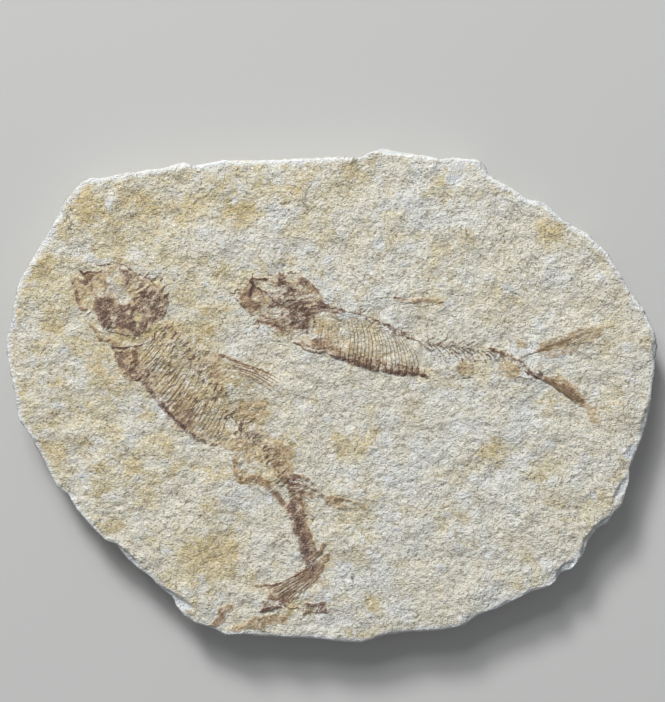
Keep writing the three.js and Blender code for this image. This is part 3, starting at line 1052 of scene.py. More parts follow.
@dataclass
class Skeleton:
    """All the separate bones of one fossil, as flattened tapering rods on its film."""

    name: str
    nodes: tuple[str, ...]
    bones: Sequence[Bone]
    sides: int = 6
    rings: int = 8
    plump: float = 0.9
    knobbly: float = 0.35
    end: float = 0.4
    stray: float = 0.1

    def rod(self) -> bpy.types.Mesh:
        """A plain rod along +Z from 0 to 1, with a radius of 1 and closed ends."""
        maker = bmesh.new()
        bmesh.ops.create_circle(maker, cap_ends=True, segments=self.sides, radius=1)
        edges = list(maker.edges)
        for _ in range(self.rings):
            grown = bmesh.ops.extrude_edge_only(maker, edges=edges)["geom"]
            edges = [g for g in grown if isinstance(g, bmesh.types.BMEdge)]
            verts = [g for g in grown if isinstance(g, bmesh.types.BMVert)]
            bmesh.ops.translate(maker, verts=verts, vec=(0, 0, 1 / self.rings))
            edges = [e for e in edges if e.verts[0] in verts and e.verts[1] in verts]
        bmesh.ops.holes_fill(maker, edges=edges)
        bmesh.ops.recalc_face_normals(maker, faces=maker.faces)
        mesh = bpy.data.meshes.new("rod")
        maker.to_mesh(mesh)
        maker.free()
        return mesh

    def make(self, ground: Ground, finish: Material) -> Object:
        """Builds and dresses the bones.

        Args:
            ground: The surface they lie on.
            finish: Their material.

        Returns:
            The joined bones.
        """
        rod = self.rod()
        maker = bmesh.new()
        depth = maker.verts.layers.float.new("depth")
        for number, bone in enumerate(self.bones):
            path = curve(bone.points, self.rings + 1)
            first = len(maker.verts)
            maker.from_mesh(rod)
            maker.verts.ensure_lookup_table()
            for vert in maker.verts[first:]:
                ring = round(vert.co.z * self.rings)
                here = path[ring]
                ahead = path[min(ring + 1, self.rings)] - path[max(ring - 1, 0)]
                ahead.normalize()
                half = (bone.width + (bone.tip - bone.width) * ring / self.rings) / 2
                wear = noise.noise(Vector((here.x, here.y, number)) / 0.9)
                half *= self.plump + self.knobbly * wear
                if ring in (0, self.rings):
                    half *= self.end
                side = Vector((-ahead.y, ahead.x)) * vert.co.x * half
                base = ground.height(here.x, here.y) + bone.rise + self.stray * wear
                z = base + vert.co.y * half * bone.flat
                vert.co = Vector((here.x + side.x, here.y + side.y, z)) * MM
                vert[depth] = bone.depth
        bpy.data.meshes.remove(rod)
        bmesh.ops.recalc_face_normals(maker, faces=maker.faces)
        piece = new_object(self.name, maker, finish)
        enlist(piece, FOSSIL_SLOT, *self.nodes)
        return piece


def row(
    first: Line, last: Line, count: int, width: float, tip: float, depth: float,
    span: tuple[float, float] = (0.0, 1.0), bow: Point = (0.0, 0.0), seed: int = 1,
) -> list[Bone]:
    """A row of bones from points along one line to points along another.

    Args:
        first: Where they start.
        last: Where they end.
        count: How many there are.
        width: Their width at the start, in millimetres.
        tip: Their width at the end.
        depth: Their depth of colour.
        span: The stretch of each that is left, from 0 to 1.
        bow: How far their middles are pushed aside, in millimetres.
        seed: Picks how each differs.

    Returns:
        The bones.
    """
    chance = random.Random(seed)
    made = []
    for i in range(count):
        share = (i + 0.5 + chance.uniform(-0.15, 0.15)) / count
        root, tip_at = along(first, share), along(last, share)
        low, high = span[0] + chance.uniform(0, 0.06), span[1] - chance.uniform(0, 0.12)
        places = (low, (low + high) / 2, high)
        spots = [root.lerp(tip_at, t) + Vector(bow) * 4 * t * (1 - t) for t in places]
        thick = chance.uniform(0.8, 1.15)
        made.append(Bone(spots, width * thick, tip * thick, depth * chance.uniform(0.6, 1.1)))
    return made


def beads(line: Line, count: int, width: float, depth: float, seed: int = 1) -> list[Bone]:
    """A backbone: short thick bones end to end along a line.

    Args:
        line: The line they follow.
        count: How many there are.
        width: Their width in millimetres.
        depth: Their depth of colour.
        seed: Picks how each differs.

    Returns:
        The bones.
    """
    chance = random.Random(seed)
    made = []
    for i in range(count):
        a, b = along(line, i / count), along(line, (i + 0.5) / count)
        thick = width * chance.uniform(0.6, 1.1)
        shade = depth * chance.uniform(0.4, 1.2)
        made.append(Bone((a, a.lerp(b, 0.5), b), thick, thick, shade, flat=0.5))
    return made


class Fish:
    """What both fish share: lie is the body's direction in plan, in degrees from +X."""

    lie: float

    def head(self) -> list[Mark]:
        """The skull, jaws and gill covers."""
        raise NotImplementedError

    def trunk(self) -> list[Mark]:
        """The body wall with its ribs."""
        raise NotImplementedError

    def rear(self) -> list[Mark]:
        """The hind part and the tail."""
        raise NotImplementedError

    def marks(self) -> list[Mark]:
        """All the marks of the fish's film."""
        return self.head() + self.trunk() + self.rear()


class LeftFish(Fish):
    """The fish that lies with its head up-left and its tail at the lower edge."""

    lie = 48.0
    spine: Line = (
        (-47, 19.5), (-44, 16.5), (-42.5, 13), (-40, 10), (-37, 7), (-34.5, 4), (-31.5, -0.5),
        (-28, -5.5), (-23.5, -11), (-19, -15), (-16, -19.5), (-13, -23.5), (-10.5, -28),
        (-9.5, -33), (-8, -39), (-5.8, -45),
    )
    belly: Line = (
        (-57, 8), (-54.5, 6.5), (-53, 4.5), (-51.5, 3), (-49, 0), (-46, -3.8), (-43, -7),
        (-40, -9.8), (-37, -12), (-32, -13.5),
    )
    back: Line = (
        (-46, 20.6), (-42, 19.4), (-38, 16), (-34.5, 12.5), (-30, 10.6), (-27, 8), (-25, 4),
        (-20, 0.5), (-18, -4), (-19.2, -9), (-15, -12.6), (-10.8, -16), (-11, -21),
    )
    gaps: tuple[tuple[float, Line], ...] = (
        (1.2, ((-29.6, 3), (-28, 3.4), (-26.4, 1.8), (-26, -2), (-28, -1.4))),
        (1.0, ((-38, -1.6), (-35.8, -1.8), (-35.6, -4.6), (-38, -4.2))),
        (1.2, ((-29, -6), (-26.6, -6.4), (-25.8, -9.8), (-28, -10))),
        (1.0, (
            (-22.6, -18.8), (-19.4, -18.6), (-16.4, -20.4), (-15.6, -23.6), (-17.6, -23.2),
            (-19.6, -21.6), (-22.6, -21.4),
        )),
        (0.7, ((-14, -25.2), (-12.2, -26), (-12.2, -29.6), (-14, -28))),
    )

    def flaked(self, *depths: float) -> list[Mark]:
        """Bare places that the fish and its stain share.

        Args:
            depths: How bare each of the gaps is, from 0 to 1.

        Returns:
            One mark for each gap.
        """
        return [
            Mark(BARE, depth, points, soft=soft)
            for depth, (soft, points) in zip(depths, self.gaps, strict=True)
        ]

    def halo(self) -> list[Mark]:
        """Golden stains round the fish."""
        return [
            *self.flaked(0.7, 0.7, 0.6, 0.85, 0.7),
            Mark(OCHRE, 0.46, (
                (-58.5, 12), (-52, 16.5), (-47, 21.5), (-43, 20.5), (-38, 19), (-35, 15), (-30, 11.4),
                (-26, 9), (-24.5, 5), (-21, 3.6), (-18.6, 1), (-17, -3), (-17.5, -6.2), (-19, -8),
                (-18, -10.5), (-14, -12.7), (-11, -13.2), (-10, -15), (-9.3, -17.8), (-10.8, -20.5),
                (-12, -24), (-14, -27), (-18, -24.5), (-24, -24.6), (-26.6, -22), (-27.4, -17.5),
                (-28, -15.2), (-32.5, -13.8), (-37, -12.4), (-43, -7.4), (-49, -0.3), (-54.5, 6.2),
            ), soft=2.2),
            Mark(OCHRE, 0.6, ((-26, -1.5), (-18, -1), (-17.2, -5.5), (-20, -7.5), (-26.5, -6)), soft=1.6),
            Mark(OCHRE, 0.5, ((-38, 19), (-33, 20.5), (-32, 16.5), (-37, 15.5)), soft=2.0),
            Mark(OCHRE, 0.45, ((-17, -12), (-11, -13), (-9.6, -17.5), (-14, -19)), soft=1.4),
            Mark(OCHRE, 0.7, ((-65.8, 33.2), (-62.5, 33.6), (-62.3, 28.4), (-65, 28)), soft=1.0),
            Mark(OCHRE, 0.5, ((-70, 30), (-66, 31), (-66.6, 28), (-69.3, 25.4)), soft=1.0),
            Mark(OCHRE, 0.85, (
                (-59, 17.6), (-57, 16.2), (-55, 15.6), (-52.5, 15.9), (-50.6, 17.2), (-49.4, 18.4),
            ), width=1.7, soft=0.8),
            Mark(OCHRE, 0.6, (
                (-65.5, 18), (-64.6, 16), (-62, 15), (-60, 13), (-58, 13.5), (-57.5, 16), (-60, 17.5),
                (-63, 18.4),
            ), soft=1.0),
            Mark(OCHRE, 0.4, ((-1, -27), (9, -29.5), (9.5, -32), (2, -32), (-2, -30.5)), soft=1.2),
            Mark(OCHRE, 0.4, ((-9, -26), (-4, -36), (-4, -42), (-7, -40), (-10, -30)), soft=1.0),
            Mark(OCHRE, 0.5, ((-12, -60), (-12, -63), (-24, -65), (-30, -64.4), (-22, -61)), soft=1.6),
            Mark(OCHRE, 0.3, ((9, -55.5), (13.5, -56), (13.5, -59), (9.5, -59.5)), soft=1.2),
        ]

    def head(self) -> list[Mark]:
        """The skull, jaws and gill covers."""
        return [
            Mark(BROWN, 0.42, (
                (-71.3, 31.8), (-69.6, 34.3), (-66.5, 34), (-63.5, 34.6), (-60, 36), (-56, 35),
                (-51.5, 32.3), (-47.2, 29.6), (-45.3, 26), (-46.2, 22.3), (-48.5, 20), (-51, 17.2),
                (-55, 15.6), (-60, 18), (-63.6, 19), (-65, 21.8), (-66.4, 23.6), (-67, 27),
                (-69.2, 25.6), (-70.8, 28),
            ), soft=1.0),
            Mark(BROWN, 0.45, (
                (-66, 26), (-62, 27.4), (-59, 25), (-55.4, 25.4), (-52, 30), (-49, 29.6),
                (-46, 26.6), (-46, 22.6), (-49, 19.8), (-53, 17), (-58, 18), (-62, 18.4),
                (-64.4, 20),
            ), soft=1.6),
            Mark(DARK, 0.36, (
                (-65, 25), (-61, 26.6), (-57, 25), (-53, 27), (-50, 29), (-46.2, 26), (-46.6, 22),
                (-52, 18.2), (-58, 18.6), (-63.4, 18.8),
            ), soft=2.4),
            *dashes(DARK, 0.7, ((-64, 23), (-56, 22), (-48, 25), (-52, 31)), 4.6, 150, 35, 0.4, 15),
            *dashes(BARE, 0.7, ((-64, 24), (-56, 24), (-48, 26), (-56, 32)), 5.0, 110, 40, 0.34, 16),
            Mark(DARK, 0.36, (
                (-66.3, 25), (-65.2, 22.3), (-63.9, 19.6), (-62.3, 18.3), (-60, 18.5), (-59, 20),
                (-59.8, 23), (-60.2, 26.5), (-61, 28.1), (-62.5, 27.2), (-64.4, 27.2),
            ), soft=1.2, lift=0.1),
            Mark(DARK, 0.38, (
                (-65.3, 23.4), (-64.2, 20), (-62.6, 18.7), (-60.8, 19), (-61, 22), (-62, 24.4),
            ), soft=1.0, lift=0.12),
            Mark(DARK, 0.6, (
                (-57.6, 20.2), (-55, 20.7), (-53.5, 20.2), (-51, 21.2), (-49, 21.6), (-48.2, 21),
                (-50, 19), (-51.5, 17.8), (-53, 16.7), (-55, 17.4), (-57.4, 18.2),
            ), soft=0.9, lift=0.12),
            Mark(BROWN, 0.7, ((-60.4, 20.4), (-57, 20.6), (-56.6, 18), (-59.6, 17.8)), soft=0.8),
            Mark(BROWN, 0.8, ((-52.4, 20.8), (-49.4, 21), (-49.4, 19.2), (-52, 18.4)), soft=0.7),
            Mark(DARK, 0.5, (
                (-58.2, 34.6), (-55.8, 34.8), (-54, 33.6), (-53.2, 32), (-53.6, 31.2), (-55.4, 31.2),
                (-57.4, 32.6),
            ), soft=0.9, lift=0.1),
            Mark(DARK, 0.9, ((-57.1, 31.9), (-56, 31.6), (-56, 30.6), (-56.7, 30.4)), soft=0.7, lift=0.1),
            Mark(DARK, 0.7, ((-53.5, 31.2), (-52.3, 31), (-52.1, 29.6), (-53.6, 29.3)), soft=0.8),
            Mark(DARK, 0.28, (
                (-53.5, 29), (-51, 30.8), (-49, 29.9), (-47.2, 29.5), (-45.6, 27), (-45.4, 25),
                (-46.2, 22.3), (-48, 21.4), (-52, 21.8), (-54.4, 22.8), (-54.6, 24.5), (-53.6, 27),
            ), soft=1.4, lift=0.08),
            Mark(DARK, 0.3, ((-52, 29.4), (-49, 28.6), (-50.4, 26.8), (-53.2, 27)), soft=1.2),
            Mark(DARK, 0.55, (
                (-47.4, 29.4), (-46.1, 27.6), (-45.4, 26.4), (-45.3, 25.2), (-45.9, 23.6),
                (-46.3, 22.4), (-47.6, 21.6),
            ), width=0.7, lift=0.14),
            Mark(DARK, 0.3, (
                (-60, 24.2), (-57, 23.8), (-54, 24.4), (-52.8, 23), (-53, 21.6), (-56, 21.2),
                (-60, 21.4),
            ), soft=1.2, lift=0.08),
            Mark(DARK, 0.6, ((-52.3, 23.4), (-50.8, 23.2), (-50.6, 21.6), (-52.2, 21.4)), soft=0.7),
            Mark(DARK, 0.75, ((-56.4, 28.5), (-55.6, 28.3)), width=0.7),
            Mark(DARK, 0.7, ((-54.8, 26.2), (-53.9, 26.6), (-53.6, 27.2)), width=0.8),
            Mark(DARK, 0.8, (
                (-69.7, 34.5), (-68.6, 33.5), (-67.4, 33.9), (-65.4, 33.9), (-64, 34.2), (-63.2, 34.7),
            ), width=0.6, lift=0.12),
            Mark(DARK, 0.6, ((-69.6, 34.6), (-68.6, 34), (-67.6, 32.8), (-68.6, 33)), soft=0.5),
            Mark(BROWN, 0.75, (
                (-68.4, 33), (-66.4, 33.7), (-64.2, 33.9), (-65.4, 32.8), (-66.6, 31.6),
                (-68, 30.2), (-68.8, 31.2),
            ), soft=0.6),
            Mark(DARK, 0.6, (
                (-71.6, 31.6), (-70.6, 32.2), (-69.6, 31.4), (-68.4, 30.9), (-67.4, 31.2),
                (-66.6, 32),
            ), width=0.8),
            Mark(BROWN, 0.85, (
                (-71.3, 31.4), (-70.7, 29.4), (-70.2, 27.4), (-69.7, 25.2), (-69, 23.9), (-68.1, 23.7),
            ), width=1.1, soft=0.6, lift=0.15),
            Mark(DARK, 0.6, (
                (-71.5, 31.2), (-71, 29.4), (-70.6, 27.4), (-70.1, 25.2), (-69.3, 23.9),
            ), width=0.4, soft=0.3),
            Mark(BROWN, 0.6, ((-66.2, 30.4), (-66, 29), (-65.3, 28), (-64.6, 27.2)), width=0.6),
            Mark(BROWN, 0.5, ((-62.7, 34.4), (-62.4, 31), (-62.3, 28.4)), width=0.4),
            Mark(DARK, 0.6, (
                (-64.6, 36), (-61.4, 36.2), (-60.8, 36.9), (-60, 36.4), (-58.8, 36.3), (-57.4, 36),
                (-56, 35.1), (-54.4, 34.1), (-52.4, 33), (-51.2, 32.5), (-49.4, 31.2), (-47.6, 29.7),
            ), width=0.45, soft=0.3),
            Mark(DARK, 0.6, ((-61.6, 35.4), (-60.2, 34.8), (-59.2, 35.6), (-58.4, 34.6)), width=0.4),
            Mark(DARK, 0.6, ((-60.6, 34.4), (-59.6, 33.4), (-59.8, 32)), width=0.3),
            Mark(BARE, 0.55, (
                (-60.6, 33.8), (-58.6, 33.8), (-58, 32.4), (-58, 29.8), (-56.4, 28.9), (-55, 28.4),
                (-55.6, 26.2), (-57, 25), (-59, 25.2), (-59.6, 27), (-60.8, 29.4), (-61.8, 31.4),
            ), soft=1.2),
            Mark(BARE, 0.85, (
                (-68.8, 27.4), (-66.4, 27.9), (-65.4, 26.6), (-66.4, 24.4), (-68.6, 24.4),
            ), soft=0.8),
            Mark(BARE, 0.8, ((-60.9, 21.6), (-60.7, 21.6)), width=0.6, soft=0.3),
            Mark(BARE, 0.6, ((-53.9, 22.5), (-52.5, 22.4), (-52.9, 20.9), (-54, 21)), soft=0.6),
            Mark(BARE, 0.7, ((-69.5, 32.7), (-68.8, 32.6)), width=0.6),
            Mark(BARE, 0.5, ((-47.2, 25), (-46.4, 25)), width=1.0),
            Mark(DARK, 0.95, (
                (-60.6, 13.1), (-57.2, 13), (-55.5, 13.5), (-53, 13.8), (-51, 14.3), (-49.6, 15.4),
                (-48.4, 17.6),
            ), width=0.6, soft=0.35, lift=0.12),
            Mark(DARK, 0.4, ((-57, 13.4), (-53, 13.9), (-53.4, 12.2), (-56.4, 12.4)), soft=0.6),
            Mark(DARK, 0.5, ((-56.4, 16), (-54.8, 15.8), (-54.4, 16.2)), width=0.3, soft=0.3),
            Mark(BARE, 0.85, (
                (-60.5, 17), (-58.6, 15.8), (-56, 14.8), (-53, 15), (-51, 16.2), (-49.6, 18),
            ), width=1.3, soft=0.6),
            Mark(DARK, 0.7, (
                (-62, 17.6), (-60, 17.4), (-58, 16.9), (-56, 16.5), (-54, 16.5), (-52, 17.3),
                (-50.4, 18.8),
            ), width=0.35, soft=0.35),
            Mark(BROWN, 0.75, (
                (-66.7, 19.7), (-65.6, 18.6), (-64.8, 17), (-63.9, 15.5), (-62.6, 15.2), (-61.2, 15.3),
            ), width=0.9, lift=0.1),
            Mark(BROWN, 0.5, (
                (-62.6, 16.8), (-60.5, 16), (-58.4, 14), (-59, 12.8), (-61, 13), (-62.4, 15),
            ), soft=0.8),
            Mark(BROWN, 0.85, (
                (-60, 11.9), (-57.5, 12.5), (-54, 12.8), (-53, 11), (-53, 8), (-51, 4.4), (-54, 4),
                (-56.5, 6.8), (-58.8, 8.6),
            ), soft=0.8, lift=0.1),
            Mark(DARK, 0.3, (
                (-59.6, 11.6), (-56, 11.8), (-54.4, 8), (-52.4, 4.6), (-54.6, 4.4), (-58.4, 8.8),
            ), soft=1.2),
            Mark(BROWN, 0.65, (
                (-59.6, 11.8), (-58.4, 8.6), (-57, 6), (-55.2, 4.6),
            ), width=1.6, soft=0.8),
            Mark(DARK, 0.5, ((-59.8, 11.8), (-58.8, 8.8), (-57.6, 6.4)), width=0.5, soft=0.5),
        ]

    def trunk(self) -> list[Mark]:
        """The body wall, ribs and fins, from the gill covers to the vent."""
        area = (
            (-57.5, 12.5), (-52.5, 14), (-49.5, 17.5), (-46.5, 21), (-42, 19.4), (-38.5, 16),
            (-34.5, 12.5), (-30, 10.4), (-28.4, 7), (-29, 3), (-31, -1), (-29, -5), (-24.5, -7.5),
            (-19, -9), (-14, -13), (-10.6, -16), (-12, -21), (-16, -17.5), (-21, -15.5),
            (-27.5, -15.4), (-33, -13.6), (-37, -12), (-41, -9.2), (-45, -5), (-49, -0.4),
            (-52, 3), (-55.5, 7),
        )
        return [
            Mark(BROWN, 0.22, area, soft=2.0),
            Mark(BROWN, 0.28, (
                (-50, 4), (-46, 7), (-40, 2), (-36, -4), (-36, -11), (-41, -9), (-46, -3.6), (-50, 1),
            ), soft=2.0),
            Mark(BROWN, 0.45, ((-46, -3.5), (-42, -3.5), (-38, -9), (-39.5, -10), (-44, -6)), soft=1.4),
            Mark(BROWN, 0.4, ((-36, 13), (-32, 11.4), (-29.4, 8), (-31.6, 3), (-35, 8)), soft=1.6),
            Mark(BROWN, 0.4, ((-26, -1.6), (-18.6, -2), (-18.2, -5.6), (-20, -7), (-26, -6.4)), soft=1.6),
            Mark(BROWN, 0.35, ((-27, -12), (-21, -13), (-22, -18), (-26.6, -20)), soft=1.6),
            Mark(BROWN, 0.4, ((-16.4, -12.6), (-12, -13.4), (-11, -17.6), (-15.6, -17)), soft=1.2),
            *dashes(DARK, 0.8, self.spine[:9], 3.6, 230, 50, 0.42, 3),
            *dashes(DARK, 0.8, self.spine[7:13], 2.6, 130, 40, 0.42, 4),
            *dashes(DARK, 0.62, ((-52, 8), (-42, 2), (-34, -8)), 5.5, 260, 52, 0.36, 5),
            *dashes(BARE, 0.95, ((-50, 12), (-42, 8), (-36, 0), (-24, -12)), 8.0, 420, 50, 0.5, 6),
            Mark(BROWN, 0.5, (
                (-17, -17.4), (-12, -18), (-10.6, -21), (-8, -22.4), (-7.6, -26), (-9.4, -29.6),
                (-11.4, -30), (-13, -27), (-13.4, -24.6), (-15.4, -21.4),
            ), soft=1.0),
            *dashes(DARK, 0.45, self.spine[10:14], 1.8, 50, -35, 0.36, 14),
            Mark(DARK, 0.62, self.belly, width=1.2, soft=0.8, lift=0.12),
            Mark(DARK, 0.65, ((-54, 4.2), (-52.2, 4.8), (-50.4, 5.8)), width=0.5, soft=0.4),
            Mark(DARK, 0.55, ((-47, -1.6), (-44.6, -1.8), (-43.6, -3), (-46, -4)), soft=0.9),
            Mark(DARK, 0.6, ((-45.6, -4), (-43, -6.6), (-40, -9.4), (-37.6, -11.4)), width=0.8),
            Mark(BROWN, 0.35, (
                (-46.2, -4.6), (-42, -8.4), (-40.5, -10), (-43, -10), (-46, -7),
            ), soft=1.0),
            Mark(DARK, 0.45, ((-40, -4), (-38.6, -3.8), (-38, -8), (-40.6, -8)), soft=1.4),
            Mark(BROWN, 0.75, (
                (-25, -23.2), (-22, -22.6), (-20, -22.9), (-18, -24), (-17, -25.4), (-15, -27.6),
                (-13, -30.4), (-12, -32),
            ), width=2.1, soft=1.3, lift=0.04),
            Mark(BROWN, 0.6, (
                (-27.1, -15), (-27, -18), (-26.4, -21), (-25.4, -23.2),
            ), width=1.6, soft=1.2, lift=0.03),
            Mark(DARK, 0.4, (
                (-24, -23), (-20, -23.4), (-16.6, -26), (-14, -29), (-12.2, -32),
            ), width=0.9, soft=1.0),
            *self.flaked(0.9, 0.85, 0.8, 0.9, 0.8),
            Mark(BROWN, 0.2, (
                (-30, 11), (-27, 10), (-20, 7.2), (-14.4, 5), (-16, 1.4), (-21, 3.6), (-27, 5.4),
            ), soft=1.0),
            Mark(BROWN, 0.85, (
                (-31, 11.2), (-28, 10.2), (-23, 8.2), (-20, 7.1), (-16.8, 6.1),
            ), width=0.9, soft=0.5, lift=0.12),
            Mark(DARK, 0.5, ((-30.6, 11), (-27.6, 10), (-25.6, 9.2)), width=0.6),
            *hatch(BROWN, 0.8, ((-27.4, 9), (-25.6, 5.6)), ((-14, 4.8), (-17, 0.8)), 5, 0.3,
                   bow=(0.3, 0.5), seed=8),
            *hatch(DARK, 0.55, ((-28.4, 9.6), (-27.6, 7.6)), ((-22, 7.6), (-22, 5.6)), 3, 0.35, seed=9),
            *hatch(DARK, 0.3, self.spine[:8], self.belly, 26, 0.32, (0.3, 0.98), (0.3, -0.5), 2),
            *hatch(DARK, 0.22, self.spine[:11], self.back, 30, 0.3, (0.06, 0.6), (-0.2, 0.3), 7),
        ]

    def rear(self) -> list[Mark]:
        """The anal fin, tail stalk, tail fin and the smears below it."""
        return [
            Mark(BROWN, 0.6, (
                (-13, -22), (-8, -21.6), (-5.6, -22.8), (-4, -24.6), (-2, -27.4), (-5, -28),
                (-9, -27.4), (-12, -26),
            ), soft=0.9),
            Mark(DARK, 0.34, (
                (-13, -22.6), (-8, -22), (-6, -23), (-4.5, -24.5), (-2.5, -27.2), (-5, -27.2),
                (-8, -26.5), (-12, -25.8),
            ), soft=1.0, lift=0.12),
            Mark(DARK, 0.5, ((-12, -24.6), (-8, -24), (-4.6, -26)), width=0.6),
            Mark(DARK, 0.6, ((-9, -26.6), (-6, -26.8), (-3, -27.2)), width=0.6, lift=0.12),
            *dashes(DARK, 0.5, ((-12, -24), (-7, -24.8), (-4, -26.6)), 2.0, 24, -28, 0.34, 63),
            *hatch(DARK, 0.75, ((-13, -21.8), (-12, -26)), ((-4, -25.2), (-3.6, -28)), 8, 0.42, (0, 1),
                   (0.6, 0.5), 67),
            *hatch(BARE, 0.75, ((-13, -21.8), (-12, -26)), ((-4, -25.2), (-3.6, -28)), 7, 0.3, (0, 1),
                   (0.6, 0.5), 68),
            *dashes(BARE, 0.7, ((-12, -24), (-7, -24.8), (-3, -26.8)), 2.8, 18, -28, 0.32, 64),
            Mark(BROWN, 0.6, (
                (-4, -27.4), (-1, -28), (2, -28.3), (5, -29), (7.8, -29.8), (9.4, -31.2),
            ), width=0.9, soft=0.9, lift=0.03),
            Mark(BROWN, 0.3, (
                (-8.4, -52), (-4, -50), (-1, -50.5), (-1, -53.6), (-4, -55.6), (-7, -56),
            ), soft=1.8, lift=0.02),
            Mark(BROWN, 0.3, ((-22, -51.4), (-16, -51.6), (-15.4, -54), (-21, -54)), soft=1.4, lift=0.02),
            Mark(DARK, 0.3, ((-4, -27.6), (1, -28.3), (7.8, -30.2)), width=0.7, soft=0.8, lift=0.02),
            Mark(BROWN, 0.4, ((-3.6, -28), (1, -28.6), (7, -31), (3, -31.4), (-1, -30.6)), soft=1.0),
            Mark(DARK, 0.5, ((-1.6, -29.2), (1, -28.8), (3, -28.6)), width=0.7),
            Mark(BROWN, 0.8, (
                (-12.2, -29.5), (-12, -32), (-10.6, -35), (-9.4, -38), (-8.2, -41), (-7.5, -43.5),
                (-6.8, -46.5), (-5.4, -46), (-4.6, -42.5), (-5, -40.5), (-6.6, -36), (-7.8, -33),
                (-8.3, -30), (-8.6, -27), (-10.6, -26), (-11, -28),
            ), soft=0.7, lift=0.14),
            Mark(DARK, 0.62, (
                (-11, -30), (-9.6, -36), (-8.4, -39.4), (-7.4, -43), (-6.4, -46),
            ), width=3.4, soft=1.4),
            *hatch(BROWN, 0.8, ((-12, -30), (-8.4, -28)), ((-7.2, -46), (-5, -44)), 8, 0.4, seed=61),
            *hatch(DARK, 0.55, ((-11.6, -30), (-8.6, -28)), ((-7, -46), (-5.6, -44)), 6, 0.36, seed=65),
            *hatch(BARE, 0.5, ((-10, -30), (-8, -29)), ((-6.6, -44), (-4.6, -42)), 4, 0.26, seed=62),
            Mark(BROWN, 0.6, (
                (-8.6, -28.5), (-8, -31.6), (-7, -36), (-5.6, -40.4), (-4.6, -43.4),
            ), width=0.9),
            *hatch(BROWN, 0.6, ((-8.4, -28), (-8, -33)), ((-5, -31), (-5.4, -36.6)), 5, 0.35, seed=11),
            Mark(BROWN, 0.7, ((-5.6, -45.4), (-3.9, -43.3), (-2.3, -40.9)), width=1.3, lift=0.1),
            Mark(BROWN, 0.55, (
                (-5, -46), (-2.4, -43.6), (-0.8, -43), (-0.8, -45), (-2.4, -46.8),
            ), soft=0.6),
            Mark(BROWN, 0.7, (
                (-6.3, -47), (-9, -49.2), (-12, -50.8), (-15, -51.6), (-18, -52.2), (-17.8, -53.6),
                (-18.4, -55.4), (-16, -56.2), (-12, -57), (-9.6, -55.4), (-8, -52.5), (-4.6, -51.2),
                (-3, -49.4), (-2.3, -46.8), (-4, -46),
            ), soft=0.7, lift=0.12),
            Mark(BROWN, 0.5, ((-17.6, -52.2), (-21.5, -52.2)), width=0.6),
            Mark(DARK, 0.5, ((-5, -46.5), (-9, -50.8), (-12, -54), (-13.4, -56)), width=3.2, soft=2.0),
            Mark(DARK, 0.6, ((-20, -52.6), (-16, -52), (-12, -51)), width=0.5, soft=0.4),
            *hatch(DARK, 0.6, ((-5, -46.4), (-3, -49.6)), ((-19.6, -53.4), (-10.6, -57.4)), 12, 0.32,
                   seed=12),
            *hatch(BARE, 0.7, ((-6, -48), (-3.4, -50)), ((-19, -53.8), (-11, -57.2)), 10, 0.26, seed=13),
            Mark(DARK, 0.36, (
                (-19.6, -56.2), (-16, -56), (-13.6, -57), (-14.2, -58.2), (-17, -58.2), (-19.4, -59),
            ), soft=0.9),
            Mark(DARK, 0.5, ((-13.4, -57.6), (-11.6, -58.6), (-9.4, -58.2), (-8, -58.8)), width=0.5),
            Mark(DARK, 0.5, ((-18.8, -55.6), (-15, -56.2), (-12, -56.8)), width=0.5),
            Mark(BROWN, 0.65, (
                (-29.6, -57.3), (-31.5, -58.5), (-32, -61), (-34.4, -63.3), (-32, -63.8),
                (-29.8, -62.4), (-29, -60), (-27, -58.6), (-27.6, -57.4),
            ), soft=1.2, lift=0.03),
            Mark(DARK, 0.3, (
                (-29, -57.8), (-31, -60.4), (-33.6, -63.4), (-30.4, -62.4), (-28, -58.6),
            ), soft=1.2, lift=0.03),
            Mark(DARK, 0.2, (
                (-21, -61), (-13, -61), (-13, -62.4), (-20, -63.8), (-26, -64.4),
            ), soft=1.4, lift=0.02),
            Mark(BROWN, 0.5, (
                (-22, -60.8), (-16, -60), (-12.5, -60.8), (-12.5, -62.5), (-17, -63.4), (-22, -64.2),
                (-27, -64.8), (-29, -64.2), (-24, -62.4),
            ), soft=1.4, lift=0.03),
        ]

    def bones(self) -> list[Bone]:
        """The separate bones of the left fish."""
        return [
            Bone(((-60.4, 13.2), (-56, 13.4), (-51.4, 14.2), (-48.6, 17.2)), 0.3, 0.25, 0.75, -0.02),
            Bone(((-62, 17.6), (-58, 16.9), (-54, 16.5), (-50.4, 18.8)), 0.26, 0.22, 0.6, -0.02),
            *row(self.spine[:8], self.belly, 30, 0.2, 0.15, 0.5, (0.3, 0.97), (0.3, -0.5), 21),
            *row(self.spine[:8], self.belly, 17, 0.19, 0.14, 0.4, (0.05, 0.5), (0.3, -0.5), 26),
            *row(self.spine[:11], self.back, 22, 0.17, 0.12, 0.35, (0.05, 0.6), (-0.2, 0.3), 22),
            *beads(self.spine[7:13], 16, 0.5, 0.4, 23),
            *row(((-28, 10), (-26, 6)), ((-14.6, 5.2), (-17, 1.2)), 5, 0.26, 0.14, 0.4,
                 bow=(0.3, 0.5), seed=24),
            *row(((-6.4, -47.2), (-3.6, -50)), ((-18, -53), (-11, -57)), 8, 0.3, 0.16, 0.5, seed=25),
        ]


